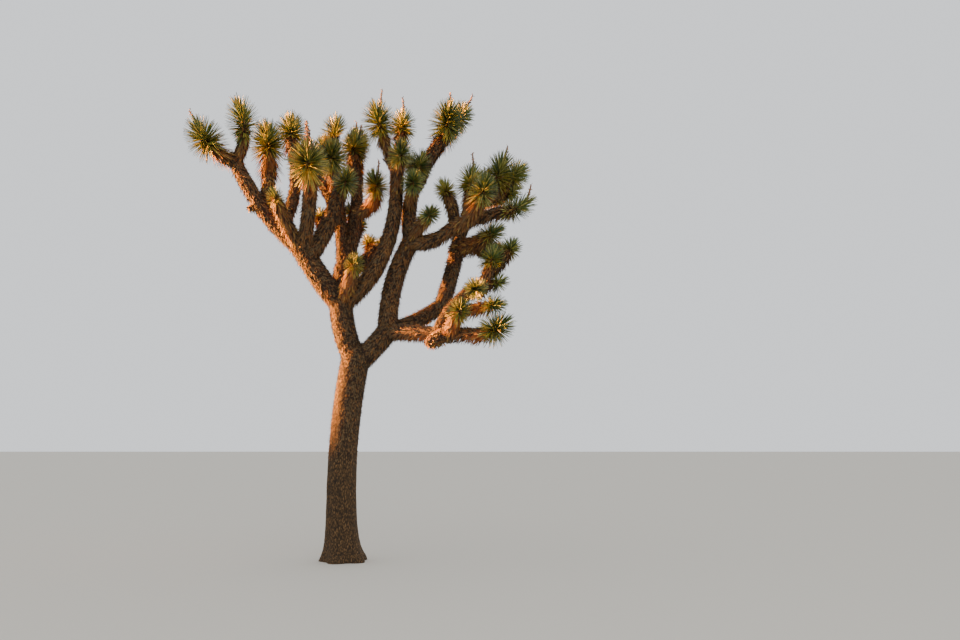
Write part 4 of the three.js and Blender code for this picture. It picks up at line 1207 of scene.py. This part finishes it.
for region in REGION_NAMES:
    nodes = [line.name for line in limbs.values() if line.region == region] + masses_of(region)
    for piece, slot in ((bark[region], "bark"), (coats[region], "dead_leaves")):
        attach(piece, "root")
        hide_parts(*nodes)
    if region in leaves:
        for piece, slot in ((leaves[region], "leaves"), (skirts[region], "dead_leaves")):
            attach(piece, "root")
            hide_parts(*masses_of(region))
for piece in (bare_stalks, seed_bunch):
    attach(piece, "root")

# %% [markdown]
# The photograph was taken from a little over eleven metres away, at eye height, looking slightly up, with
# low warm sun from the left. Here a large warm softbox with a narrow beam stands far off on the left, a
# pale one in front and an even pale world light fill the shade, and the floor is plain.

# %% Floor, light and camera
FLOOR_HALF = 60
EYE, PITCH = (1.685, -11.7915, 1.6), 6.751  # where the camera stands, and how far up it looks, in degrees


def stage_floor():
    mesh = bpy.data.meshes.new("floor")
    spots = [(x * FLOOR_HALF, y * FLOOR_HALF, 0) for x, y in ((-1, -1), (1, -1), (1, 1), (-1, 1))]
    mesh.from_pydata(spots, [], [(0, 1, 2, 3)])
    floor = show("floor", mesh)
    made, tree, shader = material("matt floor paint", roughness=0.9)
    shader.inputs["Base Color"].default_value = linear("#cbc5b9")
    mesh.materials.append(made)
    floor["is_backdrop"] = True


def softbox(name, place, target, size, power, colour, spread=180):
    light = bpy.data.lights.new(name, "AREA")
    light.size = size
    light.spread = math.radians(spread)
    light.energy = power
    light.color = linear(colour)[:3]
    lamp = bpy.data.objects.new(name, light)
    lamp.location = place
    lamp.rotation_euler = (Vector(target) - Vector(place)).to_track_quat("-Z", "Y").to_euler()
    bpy.context.scene.collection.objects.link(lamp)


stage_floor()
softbox("warm key", place=(-26, 3.0, 7.5), target=(0.3, 0, 4.3), size=5.4, power=2200, colour="#ffa44a",
        spread=2.0)
softbox("front fill", place=(4, -14, 9), target=(0.3, 0, 3.6), size=8, power=390, colour="#eceef2")
world = bpy.data.worlds.new("pale studio")
world.use_nodes = True
even_light = world.node_tree.nodes["Background"].inputs
even_light["Color"].default_value = linear("#e6e9ed")
even_light["Strength"].default_value = 1.3
bpy.context.scene.world = world

camera = bpy.data.objects.new("camera", bpy.data.cameras.new("camera"))
camera.data.lens = 35
camera.data.sensor_width = 36
camera.location = EYE
camera.rotation_euler = (math.radians(90 + PITCH), 0, 0)
bpy.context.scene.collection.objects.link(camera)
bpy.context.scene.camera = camera

# %% [markdown]
# The finished tree may stand a little proud of the CAD, but not much. The two boxes are printed side by
# side.

# %% Print the size beside the CAD box
sizes = {"cad": [list(corner) for corner in CAD_BOX], "visual": [list(corner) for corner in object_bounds()]}
print(sizes)
